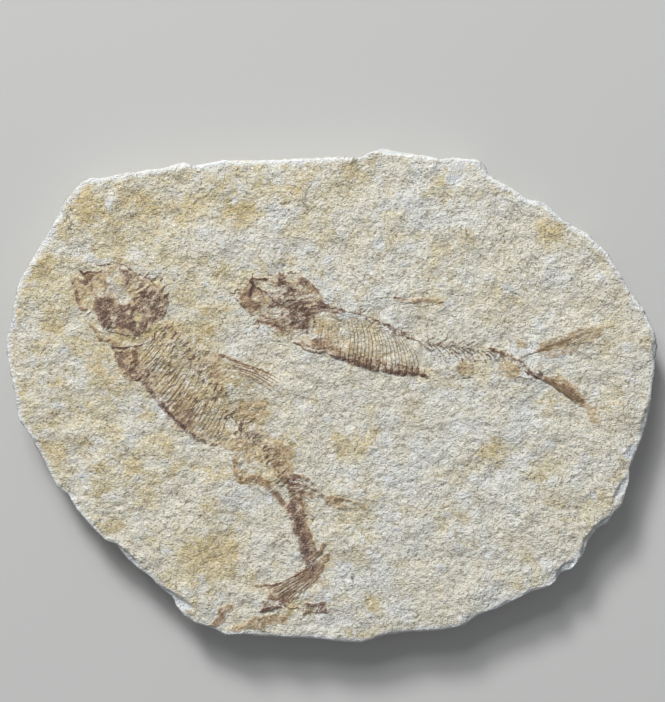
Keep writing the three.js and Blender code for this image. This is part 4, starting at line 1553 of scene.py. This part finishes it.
class RightFish(Fish):
    """The fish that lies across the slab with its head to the left."""

    lie = 12.0
    spine: Line = (
        (-3, 24.8), (-1, 24.5), (3, 23.2), (7, 22.6), (9, 22.2), (11, 21.2), (15, 19), (18.5, 17.3),
        (20.5, 16.2),
    )
    rear_spine: Line = ((20.5, 16.2), (24, 15.6), (28, 14.3), (33, 14), (38, 13.3), (43.5, 12.5))
    tail_spine: Line = ((43.5, 12.6), (46, 12), (48.5, 11.2), (50, 10.2), (52, 9.6))
    belly: Line = (
        (1, 10.7), (4, 9.9), (6, 9.1), (8, 8.4), (10, 7.9), (12, 7.3), (14, 7), (17, 6.6), (20, 6.2),
        (22, 6), (24, 6), (26, 5.1),
    )
    rib_roots: Line = (
        (3.2, 22), (5.6, 22), (8.6, 21.4), (11, 20.4), (14, 19), (17.4, 17.2), (19.6, 15.8),
    )
    rib_tips: Line = (
        (3.8, 10.4), (6.6, 9.4), (9.6, 8.4), (13, 7.6), (17, 7.4), (21, 7.4), (24.2, 7.6),
    )
    scute_places: tuple[float, ...] = (
        2, 3.2, 4.3, 6, 7.2, 9, 10.3, 12.5, 14.5, 16.2, 18, 20, 21.7, 23.3,
    )
    scute_heights: tuple[float, ...] = (2.4, 1.6, 2.0)

    def halo(self) -> list[Mark]:
        """Golden stains round the fish."""
        return [
            Mark(OCHRE, 0.38, ((2, 13.6), (8, 14.4), (13, 13), (13, 9), (8, 8.6), (3, 10.4)), soft=1.8),
            Mark(OCHRE, 0.2, (
                (-3, 24), (8, 22), (18, 17), (24, 9), (20, 6.4), (8, 9), (-1, 12),
            ), soft=2.4),
            Mark(OCHRE, 0.5, ((33.3, 8.5), (36, 10), (39, 9), (38.6, 5.4), (35, 5.2)), soft=1.2),
            Mark(OCHRE, 0.55, ((45.4, 9.6), (50, 9.4), (52.6, 6), (50, 4.8), (46, 5.2)), soft=1.4),
            Mark(OCHRE, 0.5, ((50.3, 15.4), (53.6, 15.6), (53.8, 13), (50.6, 13)), soft=1.0),
            Mark(OCHRE, 0.5, (
                (56, 14), (62, 15.6), (70, 18), (74, 18.6), (74, 17), (65, 13), (57, 11),
            ), soft=1.4),
            Mark(OCHRE, 0.6, ((59.6, 5.4), (63, 5.4), (67, 2), (71, -3), (69, -3), (62, 3)), soft=1.4),
            Mark(OCHRE, 0.6, ((69.6, -3), (72.6, -4), (73.2, -8), (71.4, -7.6), (69.8, -5.4)), soft=1.2),
            Mark(OCHRE, 0.5, ((-26, 29), (-20, 30), (-17, 27), (-20, 22), (-25, 24)), soft=1.4),
            Mark(OCHRE, 0.5, ((-17, 18), (-11, 20), (-12, 16), (-16, 15.8)), soft=1.2),
            Mark(OCHRE, 0.5, ((-5.6, 31), (-3.6, 28), (-4, 27), (-6, 28)), soft=0.8),
            Mark(OCHRE, 0.5, ((-5.4, 21.6), (-2, 21.4), (-1, 17), (-5.4, 17)), soft=1.2),
            Mark(OCHRE, 0.35, ((31, 5.8), (33, 5.4), (33.4, 2.4), (29.6, 1), (29, 2.6)), soft=1.6),
        ]

    def head(self) -> list[Mark]:
        """The skull, jaws and gill covers."""
        return [
            Mark(BROWN, 0.5, (
                (-26.3, 28), (-24, 29.4), (-22.6, 32.4), (-18, 32.6), (-15, 33.8), (-10, 32.6),
                (-7, 32.4), (-4, 29.4), (-2.4, 27), (-2.2, 24.4), (-5.6, 20.4), (-8.4, 17),
                (-13, 17), (-17, 18.6), (-21.6, 20), (-20, 22.4), (-23.4, 23.4), (-26, 26),
            ), soft=1.2),
            Mark(BROWN, 0.55, (
                (-26.3, 27.8), (-24.4, 29), (-22, 28), (-21.6, 25), (-22.6, 23.2), (-25, 25),
            ), soft=0.8),
            Mark(BROWN, 0.5, ((-22.4, 26.6), (-20.4, 26.8), (-19.2, 23), (-21.4, 22)), soft=0.8),
            Mark(DARK, 0.61, (
                (-26, 28.1), (-25.6, 29.4), (-24.6, 29), (-24, 29.8), (-23, 31.2), (-22.2, 32.6),
                (-22, 33.6),
            ), width=0.45, soft=0.4, lift=0.1),
            Mark(DARK, 0.61, ((-28.2, 28.3), (-26.2, 28), (-25, 28.4)), width=0.3, soft=0.3),
            Mark(DARK, 0.92, (
                (-22.2, 31.4), (-21.8, 30), (-22.6, 29), (-22.7, 27.2),
            ), width=0.9, lift=0.1),
            Mark(DARK, 0.55, ((-26.4, 26.5), (-25, 25), (-23.4, 23.6), (-22, 22.4)), width=0.7),
            Mark(DARK, 0.92, (
                (-22.2, 32.3), (-20.6, 31.9), (-19, 32.1), (-18.1, 31.7),
            ), width=0.5, lift=0.1),
            Mark(DARK, 0.73, ((-19, 32), (-18.2, 31.7)), width=0.8),
            Mark(DARK, 0.73, ((-17.6, 33.2), (-15.5, 33.2), (-14.8, 32.2), (-14.6, 31)), width=0.5),
            Mark(DARK, 0.73, ((-14.8, 33.6), (-13, 33.8), (-10.2, 33.9)), width=0.5),
            Mark(DARK, 0.61, (
                (-14.8, 33.4), (-13.6, 33.6), (-12.6, 31), (-13.4, 29.4), (-15, 30),
            ), soft=0.7, lift=0.08),
            Mark(DARK, 0.61, (
                (-10, 32), (-8.5, 32.3), (-6.6, 32), (-6, 31), (-9, 30.8),
            ), soft=0.7, lift=0.1),
            Mark(BROWN, 0.6, ((-10, 31.6), (-6.4, 31.6), (-4, 29), (-3.8, 27.6), (-10, 28.6)), soft=0.8),
            Mark(DARK, 0.55, ((-10, 30.2), (-7.6, 29.2), (-6.6, 29.6)), width=0.5),
            Mark(DARK, 0.73, ((-11.6, 29), (-9.4, 28.7)), width=0.9),
            Mark(DARK, 0.61, (
                (-5.4, 30.2), (-4.3, 29.2), (-3.8, 28), (-2.8, 27), (-1.2, 26.8),
            ), width=0.45),
            Mark(DARK, 0.85, (
                (-20.4, 29.4), (-18.4, 28.3), (-17.2, 27.1), (-16.2, 26.1), (-14.8, 25.2), (-13.4, 24.7),
            ), width=0.45, soft=0.3, lift=0.12),
            Mark(DARK, 0.49, ((-20, 28.6), (-18.8, 27.2), (-18.4, 26)), width=0.4),
            Mark(DARK, 0.51, (
                (-15, 31), (-11, 31), (-10, 28), (-12.4, 25.6), (-15, 26.6), (-15.4, 28.6),
            ), soft=1.4),
            Mark(DARK, 0.61, (
                (-11.6, 24.8), (-8.4, 27), (-6, 26.4), (-3, 26.2), (-2.2, 24.6), (-4, 23.2),
                (-5.4, 21), (-6.6, 19), (-8.6, 17.8), (-11, 19), (-12.2, 21.6),
            ), soft=1.2, lift=0.12),
            Mark(DARK, 0.73, (
                (-8.8, 25), (-6.2, 25.2), (-6, 22), (-8, 21), (-9, 22.6),
            ), soft=0.9, lift=0.1),
            Mark(DARK, 0.49, ((-14, 19.8), (-10, 20.6), (-9.4, 18), (-12, 17.4), (-14.6, 18)), soft=0.9),
            Mark(DARK, 0.85, (
                (-20.6, 20.5), (-18, 20.1), (-16, 19.6), (-14, 18.6), (-12.6, 18),
            ), width=0.9, lift=0.1),
            Mark(DARK, 0.67, (
                (-20, 22), (-18, 21.2), (-16.5, 20.9), (-13.5, 20.9), (-12.4, 21.6),
            ), width=0.6),
            Mark(BROWN, 0.6, ((-20, 21.6), (-12, 20.6), (-10, 19), (-12.6, 17.4), (-16.6, 19)), soft=0.8),
            Mark(DARK, 0.73, (
                (-22, 19.9), (-21.2, 19.4), (-21, 20.2), (-21.8, 20.5), (-22, 19.9),
            ), width=0.3, soft=0.3),
            Mark(DARK, 0.73, ((-21.1, 18.6), (-20.4, 18.4), (-20.2, 19.2)), width=0.35, soft=0.3),
            Mark(DARK, 0.61, ((-16.6, 17.8), (-15.6, 17.4), (-15.2, 16.6)), width=0.5),
            Mark(DARK, 0.61, ((-8.4, 20.6), (-6.6, 19), (-6.4, 17), (-8.6, 16.4)), soft=0.9),
            Mark(DARK, 0.61, ((-5.4, 23), (-4.8, 20.6), (-5.4, 18.6), (-5.8, 16.6)), width=0.5),
            Mark(DARK, 0.61, ((-3, 20), (-3.3, 18.4), (-3.1, 16.6)), width=0.35, soft=0.3),
            Mark(BROWN, 0.75, (
                (-5.6, 13.4), (-5.2, 15.8), (-2, 16.1), (0, 15.4), (0.2, 13.6), (-1.8, 12.5), (-4, 12.5),
            ), soft=0.6, lift=0.14),
            Mark(DARK, 0.55, ((-5.4, 15.8), (-2.4, 16), (-3.6, 14.6), (-5.4, 14)), soft=0.7),
            Mark(DARK, 0.61, ((-5.4, 13), (-4, 12.5), (-2, 12.6)), width=0.5),
            Mark(DARK, 0.73, (
                (-10.5, 14.7), (-9, 14), (-8, 13.1), (-6, 12.2), (-4, 11.8), (-2, 12), (0, 11), (2, 10.5),
            ), width=0.7, soft=0.5, lift=0.1),
            Mark(DARK, 0.55, ((-8.4, 14.6), (-6.4, 13.4), (-5.2, 12.9)), width=0.5),
            Mark(BROWN, 0.4, ((-11, 16.6), (-6.4, 16.4), (-6, 13), (-10, 14.4)), soft=0.8),
            Mark(BARE, 0.9, ((-12.6, 33), (-10.6, 32.8), (-9.8, 31.6), (-11.6, 31.2)), soft=0.6),
            Mark(BARE, 0.75, ((-20.8, 31.4), (-17, 31.4), (-16, 29), (-18.6, 29), (-20.6, 30)), soft=0.8),
            Mark(BARE, 0.75, ((-19.6, 24.6), (-18.2, 24.6), (-18, 22.4), (-19.4, 22.2)), soft=0.6),
            Mark(BARE, 0.7, ((-17, 22.6), (-15, 22.2), (-15.2, 21.2), (-16.8, 21.3)), soft=0.5),
            Mark(BARE, 0.5, ((-17, 30.6), (-15.6, 30), (-12, 29), (-13, 28), (-16, 28)), soft=0.8),
            Mark(BARE, 0.5, ((-21.6, 27.6), (-20.8, 26)), width=0.7),
            *dashes(DARK, 0.75, ((-22, 28), (-15, 26), (-8, 24)), 5.0, 130, 20, 0.4, 31),
            *dashes(BARE, 0.6, ((-20, 28), (-12, 26), (-6, 22)), 5.0, 50, 30, 0.34, 32),
        ]

    def trunk(self) -> list[Mark]:
        """The body wall, ribs and belly scutes."""
        return [
            Mark(BROWN, 0.2, (
                (2, 14.4), (13.6, 13.6), (14, 8), (12, 7), (8, 8.2), (4, 9.6), (1, 11),
            ), soft=1.6),
            Mark(BROWN, 0.08, (
                (-2, 24), (4, 22.6), (10, 21), (18, 17), (23.6, 13), (24.4, 7), (20, 6.2), (10, 7.8),
                (2, 10.6), (-1, 13), (-1.6, 18),
            ), soft=1.6),
            Mark(BROWN, 0.18, (
                (-6, 21.6), (-2.6, 23.4), (1.6, 20.6), (2.6, 14.4), (2, 11.2), (-2, 12.4), (-5, 12.8),
            ), soft=1.2),
            *hatch(BROWN, 0.6, ((-4, 22), (3, 21)), ((-4.6, 14), (2.6, 11.6)), 8, 0.36, (0.1, 1.0),
                   seed=37),
            *hatch(BARE, 0.6, ((-3.4, 22), (3.4, 21)), ((-4, 14), (3, 11.6)), 8, 0.36, (0.1, 1.0),
                   seed=39),
            *hatch(DARK, 0.45, ((-3, 22), (3, 21.6)), ((-3.6, 14), (2.6, 11.6)), 6, 0.3, (0.3, 1.0),
                   seed=38),
            Mark(BROWN, 0.6, (
                (-6, 15.6), (-1, 15), (3, 13), (7, 11.6), (11, 10.4), (15, 9.4), (20, 8.4), (25, 7),
                (26, 5.2), (20, 6.2), (14, 7), (8, 8.4), (4, 9.9), (-2, 12), (-6, 12.6),
            ), soft=0.9),
            *hatch(DARK, 0.6, self.belly, ((-1, 15), (5, 12.4), (12, 10), (19, 8.8), (26.2, 7.4)), 22,
                   0.45, (0.0, 0.95), seed=59),
            *hatch(BARE, 0.6, ((2, 11), (6, 9.8), (12, 8), (20, 7), (25, 6.2)),
                   ((0.4, 15), (6, 12.4), (13, 10), (20, 8.8), (26, 7.4)), 20, 0.36, seed=60),
            Mark(DARK, 0.72, self.belly[:10], width=1.3, soft=0.7, lift=0.14),
            Mark(DARK, 0.75, self.belly[9:], width=0.7, soft=0.5, lift=0.12),
            Mark(DARK, 0.6, ((17, 5.9), (19, 5.5), (21, 5.9)), width=0.5),
            Mark(DARK, 0.4, self.spine[:3], width=1.2, soft=1.0, lift=0.08),
            Mark(DARK, 0.26, self.spine[2:7], width=0.8, soft=0.9, lift=0.05),
            Mark(DARK, 0.45, self.spine[6:], width=1.3, soft=1.0, lift=0.06),
            *dashes(DARK, 0.55, self.spine, 1.2, 50, -25, 0.5, 33),
            *[
                Mark(DARK, 0.6, ((x, y), (x + 0.15, y + h)), width=0.55, soft=0.5, lift=0.12)
                for x, y, h in self.scutes()
            ],
            *hatch(DARK, 0.4, self.rib_roots, self.rib_tips, 19, 0.24, (0.04, 1.0), (1.0, 0.4), 34),
            *hatch(BROWN, 0.3, self.rib_roots, self.rib_tips, 19, 0.4, (0.6, 1.0), (1.0, 0.4), 35),
            *hatch(BARE, 0.7, self.rib_roots, self.rib_tips, 21, 0.32, (0.1, 0.9), (1.0, 0.4), 66),
            *hatch(DARK, 0.3, self.spine, ((1, 26), (12, 24), (22, 20)), 18, 0.3, (0.1, 0.8), seed=36),
            Mark(BROWN, 0.5, ((23.2, 9.6), (23.6, 6.6)), width=0.7),
            Mark(DARK, 0.5, ((26, 16.4), (26.3, 15.6), (26.2, 14.9)), width=0.4),
        ]

    def scutes(self) -> list[tuple[float, float, float]]:
        """The keeled belly scales: place in plan and height of each."""
        across, up = zip(*self.belly)
        return [
            (x, float(np.interp(x, across, up)), self.scute_heights[i % len(self.scute_heights)])
            for i, x in enumerate(self.scute_places)
        ]

    def rear(self) -> list[Mark]:
        """The hind part, the tail stalk and both lobes of the tail."""
        return [
            *hatch(DARK, 0.34, self.rear_spine, ((26, 20.6), (34, 19.6), (44, 16)), 11, 0.26,
                   (0.02, 0.7), (0.2, -0.5), 41),
            *hatch(DARK, 0.8, self.rear_spine, ((27.5, 9.6), (36, 9.2), (48, 8.6)), 13, 0.32,
                   (0.04, 1.0), (1.0, 0.5), 42),
            *dashes(DARK, 0.5, self.rear_spine, 1.4, 18, -10, 0.38, 43),
            Mark(DARK, 0.55, ((36, 13.3), (37, 14.2), (38.4, 14.7), (39.6, 15)), width=0.35, soft=0.3),
            Mark(DARK, 0.55, ((35.8, 13), (36.3, 11.8), (36.6, 10.4)), width=0.35, soft=0.3),
            Mark(DARK, 0.6, ((26.8, 14.2), (27.2, 13), (27.5, 12.3)), width=0.35, soft=0.3),
            Mark(DARK, 0.6, ((33.4, 14.6), (34, 14)), width=0.6),
            Mark(DARK, 0.6, ((29, 14.2), (30, 14.4)), width=0.6),
            Mark(BROWN, 0.36, ((33, 8), (35.6, 10), (39, 9.8), (39, 7), (36, 6.4)), soft=2.2),
            *hatch(BROWN, 0.6, ((34, 8.4), (38, 7.6)), ((35.4, 5.2), (39, 5)), 6, 0.32, seed=44),
            Mark(DARK, 0.6, ((35.4, 4.9), (37, 5), (38.6, 5)), width=0.4, soft=0.3),
            Mark(BROWN, 0.4, self.tail_spine, width=1.6, soft=1.0, lift=0.1),
            *dashes(DARK, 0.7, ((44, 12), (48, 11), (53, 7.6), (57, 5.4)), 1.6, 46, -40, 0.4, 47),
            *dashes(BARE, 0.7, ((44, 12), (48, 11), (53, 7.6), (57, 5.4)), 1.6, 30, -40, 0.36, 48),
            Mark(DARK, 0.5, ((45.6, 12.2), (47.6, 11.9), (49, 10.8), (47, 10.8)), soft=0.7, lift=0.1),
            Mark(DARK, 0.55, ((43.4, 13), (44.6, 12.4)), width=0.9),
            Mark(BROWN, 0.36, ((45.6, 9.2), (47.6, 6), (50, 5), (52.6, 6.6), (50, 9)), soft=2.2),
            Mark(DARK, 0.6, ((49.4, 10.4), (51, 9), (52.4, 8), (53.6, 7)), width=0.5, lift=0.12),
            Mark(DARK, 0.6, ((51, 9.8), (52.2, 8.9), (53.6, 7.6), (54, 6.6)), width=0.6, lift=0.12),
            Mark(DARK, 0.55, ((52, 9.6), (53.4, 8.4), (54, 7)), width=0.4),
            Mark(DARK, 0.6, ((50, 5.6), (52, 5), (53.2, 4.6), (54.6, 4.7)), width=0.5, lift=0.12),
            Mark(DARK, 0.7, ((50.2, 4.8), (51, 3.9), (52, 3.4), (53, 3.5)), width=0.35, soft=0.3),
            Mark(BROWN, 0.42, ((50.4, 15.6), (53.4, 15), (54, 13.2), (51.2, 13.2)), soft=1.8),
            Mark(DARK, 0.55, ((52, 10.7), (54, 11.3), (56, 12.1), (58, 12.8)), width=0.6, lift=0.1),
            Mark(BROWN, 0.5, ((55.8, 12.4), (57, 13.4), (60, 14), (60, 12.4), (57, 11.8)), soft=0.8),
            Mark(BROWN, 0.5, (
                (56.8, 14.4), (60, 15.9), (63, 17), (66, 17.9), (70, 19), (74, 19.8), (76.8, 19.6),
                (73.6, 16.2), (70.8, 14), (67.6, 12.5), (64.6, 11.2), (61.6, 10.4), (58, 10.4),
            ), soft=1.6, lift=0.02),
            Mark(DARK, 0.06, (
                (57, 13.8), (62, 15.4), (67, 16.4), (70, 16.8), (66, 13.8), (61, 12), (58, 11.6),
            ), soft=1.8, lift=0.02),
            Mark(BROWN, 0.5, ((72.6, 18), (75, 18.8), (77, 19.5)), width=0.8, soft=0.8),
            *hatch(DARK, 0.26, ((57, 14), (58, 11.4)), ((74, 19), (71, 14.6)), 14, 0.2, (0.02, 1.0),
                   (0.1, -0.2), 45),
            *hatch(BARE, 0.5, ((57, 13.8), (58.4, 11)), ((74, 19), (71, 14.4)), 13, 0.2, (0.1, 1.0),
                   (0.1, -0.2), 49),
            Mark(DARK, 0.6, ((55, 6.4), (57.4, 7), (57.8, 5.4), (56, 4.6)), soft=0.8, lift=0.12),
            Mark(DARK, 0.5, ((53.6, 6.8), (55.4, 5.8), (57, 5)), width=0.8),
            Mark(BROWN, 0.62, (
                (57, 6), (60, 4.4), (63, 3.6), (65, 2.4), (67, 0.4), (69.4, -1.4), (69.6, -3), (68, -3),
                (65, -0.8), (64, 0.2), (61, 2.2), (58, 4.2),
            ), soft=0.6, lift=0.12),
            Mark(BROWN, 0.45, (
                (59.4, 5.4), (62, 5.6), (65, 4.4), (68.4, 1.6), (70.8, -1.4), (69, -1.8), (64, 2),
            ), soft=1.0),
            *hatch(BROWN, 0.6, ((58.6, 5), (61.4, 5.6)), ((69, -2), (71, -1)), 5, 0.3, seed=58),
            Mark(DARK, 0.6, (
                (54, 6), (57.6, 4.4), (60, 3), (62, 1.8), (64.4, 0), (65.6, -0.8),
            ), width=0.5, soft=0.4, lift=0.12),
            *hatch(DARK, 0.5, ((57.6, 4.8), (60.4, 5)), ((66, -1.6), (70, -1.8)), 6, 0.35, seed=46),
            Mark(BROWN, 0.45, (
                (69.4, -1.4), (73, -3), (74, -8.6), (71.4, -8), (69.4, -4.6),
            ), soft=2.2, lift=0.02),
        ]

    def bones(self) -> list[Bone]:
        """The separate bones of the right fish."""
        return [
            *[
                Bone(((x, y - 0.3), (x + 0.1, y + 0.4 * h), (x + 0.25, y + h)), 0.6, 0.25, 0.6)
                for x, y, h in self.scutes()
            ],
            *row(self.rib_roots, self.rib_tips, 19, 0.16, 0.24, 0.3, (0.02, 1.0), (1.0, 0.4), 51),
            *beads(self.spine, 17, 0.36, 0.3, 52),
            *beads(self.tail_spine, 8, 0.45, 0.2, 53),
            *row(self.rear_spine[1:], ((28, 11), (37, 10), (46, 9)), 10, 0.18, 0.12, 0.35, (0.1, 0.8),
                 (0.2, 0.4), 54),
            *row(self.rear_spine[1:], ((30, 18), (37, 17.6), (46, 15)), 7, 0.14, 0.1, 0.2, (0.1, 0.7),
                 (0.2, -0.5), 55),
            *row(((57.6, 4.6), (59.6, 5)), ((66.6, -1.8), (69.4, -2.4)), 5, 0.26, 0.16, 0.45, seed=56),
            *row(((56, 11.8), (58, 13.4)), ((70, 14.6), (74, 18.8)), 6, 0.18, 0.12, 0.12, seed=57),
        ]


class Fragments:
    """The parts of the fossils that lie by themselves."""

    def dorsal_fin(self) -> list[Mark]:
        """The right fish's dorsal fin, which lies above its back."""
        return [
            Mark(DARK, 0.3, ((12, 26.9), (16, 27), (18, 26.9)), width=0.5, soft=0.5),
            Mark(DARK, 0.5, ((17, 27), (19, 26.7), (20.6, 26.3)), width=0.6, lift=0.06),
            Mark(BROWN, 0.5, (
                (17.4, 26.6), (20.4, 25.9), (22.6, 26), (25, 26.2), (28, 26),
            ), width=1.2, soft=1.0, lift=0.04),
            Mark(DARK, 0.4, ((20.6, 25.6), (23, 25.8), (26, 26.1)), width=0.6, lift=0.05),
            Mark(DARK, 0.7, ((29.2, 25.5), (30.4, 25.8)), width=0.6),
        ]

    def tail_left(self) -> list[Mark]:
        """The dark scrap below the left fish's tail."""
        return [
            Mark(DARK, 0.7, (
                (-20.5, -59.6), (-19.4, -58.6), (-17.4, -58), (-14.4, -57.8), (-13.6, -58.4),
                (-16, -58.8), (-18.4, -59.6),
            ), soft=0.5, lift=0.15),
        ]

    def tail_right(self) -> list[Mark]:
        """The dark scrap to the right of it."""
        return [
            Mark(DARK, 0.5, (
                (-8, -56.6), (-5, -57.2), (-2, -56.4), (-2.2, -58.2), (-1, -59.4), (-2, -59.9),
                (-5, -59.2), (-7, -60), (-7.8, -61.2), (-8.4, -60), (-7.2, -58.6),
            ), soft=0.9, lift=0.15),
            Mark(DARK, 0.5, ((-7.4, -57.4), (-4.6, -58), (-2.4, -57.4)), width=0.6),
            Mark(DARK, 0.5, ((-7.8, -60.4), (-6, -59.6), (-3, -59.6), (-1.4, -59.6)), width=0.5),
        ]


@dataclass(frozen=True)
class Lamp:
    """One soft light that faces the slab; its size is in degrees for a sun, or metres."""

    name: str
    kind: str
    place: tuple[float, float, float]
    size: float
    power: float

    def make(self) -> None:
        """Adds the light to the scene."""
        lamp = bpy.data.lights.new(self.name, self.kind)
        lamp.energy = self.power
        if self.kind == "SUN":
            lamp.angle = math.radians(self.size)
        else:
            lamp.size = self.size
        holder = bpy.data.objects.new(self.name, lamp)
        holder.location = self.place
        holder.rotation_euler = Vector(self.place).to_track_quat("Z", "Y").to_euler()
        bpy.context.scene.collection.objects.link(holder)


@dataclass
class Studio:
    """A pale floor, soft light and the camera above the slab."""

    floor_size: float = 12.0
    distance: float = 450.0
    aim: Point = (0.0, 12.24)
    view_height: float = 193.05
    floor_colour: str = "#c2c2c0"
    floor_roughness: float = 0.9
    sky_colour: str = "#f0f3f8"
    sky_power: float = 0.26
    lamps: tuple[Lamp, ...] = (
        Lamp("key", "SUN", (-0.22, 0.52, 0.34), 12, 2.05),
        Lamp("near", "AREA", (-0.3, 0.75, 0.72), 0.5, 7.0),
        Lamp("fill", "AREA", (0.3, 0.1, 1.3), 1.5, 0.6),
    )

    def make(self, top: float) -> None:
        """Builds the floor, the lights and the camera.

        Args:
            top: The height of the slab's face, in millimetres.
        """
        scene = bpy.context.scene
        scene.view_settings.view_transform = "Standard"
        maker = bmesh.new()
        bmesh.ops.create_grid(maker, x_segments=1, y_segments=1, size=self.floor_size / 2)
        paper = bpy.data.materials.new("pale_floor")
        paper.use_nodes = True
        shader = paper.node_tree.nodes["Principled BSDF"]
        shader.inputs["Base Color"].default_value = linear(self.floor_colour)
        shader.inputs["Roughness"].default_value = self.floor_roughness
        shader.inputs["Specular IOR Level"].default_value = 0.0
        new_object("floor", maker, paper)
        for lamp in self.lamps:
            lamp.make()
        world = bpy.data.worlds.new("studio")
        scene.world = world
        world.use_nodes = True
        sky = world.node_tree.nodes["Background"]
        sky.inputs["Color"].default_value = linear(self.sky_colour)
        sky.inputs["Strength"].default_value = self.sky_power
        lens = bpy.data.cameras.new("camera")
        camera = bpy.data.objects.new("camera", lens)
        scene.collection.objects.link(camera)
        lens.lens = lens.sensor_width * self.distance / self.view_height
        camera.location = Vector((self.aim[0], self.aim[1], top + self.distance)) * MM
        scene.camera = camera


def main() -> None:
    """Builds the slab, the fossils and the studio, and reports each piece."""
    logging.basicConfig(level=logging.INFO)
    stone = Limestone()
    left, right, loose = LeftFish(), RightFish(), Fragments()
    halo = left.halo() + right.halo()
    slab = Slab(halo)
    slab_piece = slab.make(stone)
    ground = Ground(slab_piece)
    skin = FossilFilm(stone).material("petrified_fish_skin")
    bone = FossilBone().material("petrified_fish_bone")
    films = (
        Film("left_fish_film", ("left_fish",), left.marks(), halo, left.lie),
        Film("right_fish_film", ("right_fish",), right.marks(), halo, right.lie),
        Film("right_dorsal_fin_film", ("right_fish_dorsal_fin",), loose.dorsal_fin(), halo),
        Film("tail_scrap_left_film", ("tail_scrap_left",), loose.tail_left(), halo),
        Film("tail_scrap_right_film", ("tail_scrap_right",), loose.tail_right(), halo),
    )
    made = [film.make(slab, ground, skin) for film in films]
    surface = Ground(slab_piece, *made)
    Skeleton("left_fish_bones", ("left_fish",), left.bones()).make(surface, bone)
    Skeleton("right_fish_bones", ("right_fish",), right.bones()).make(surface, bone)
    Studio().make(slab.top)


if __name__ == "__main__":
    main()
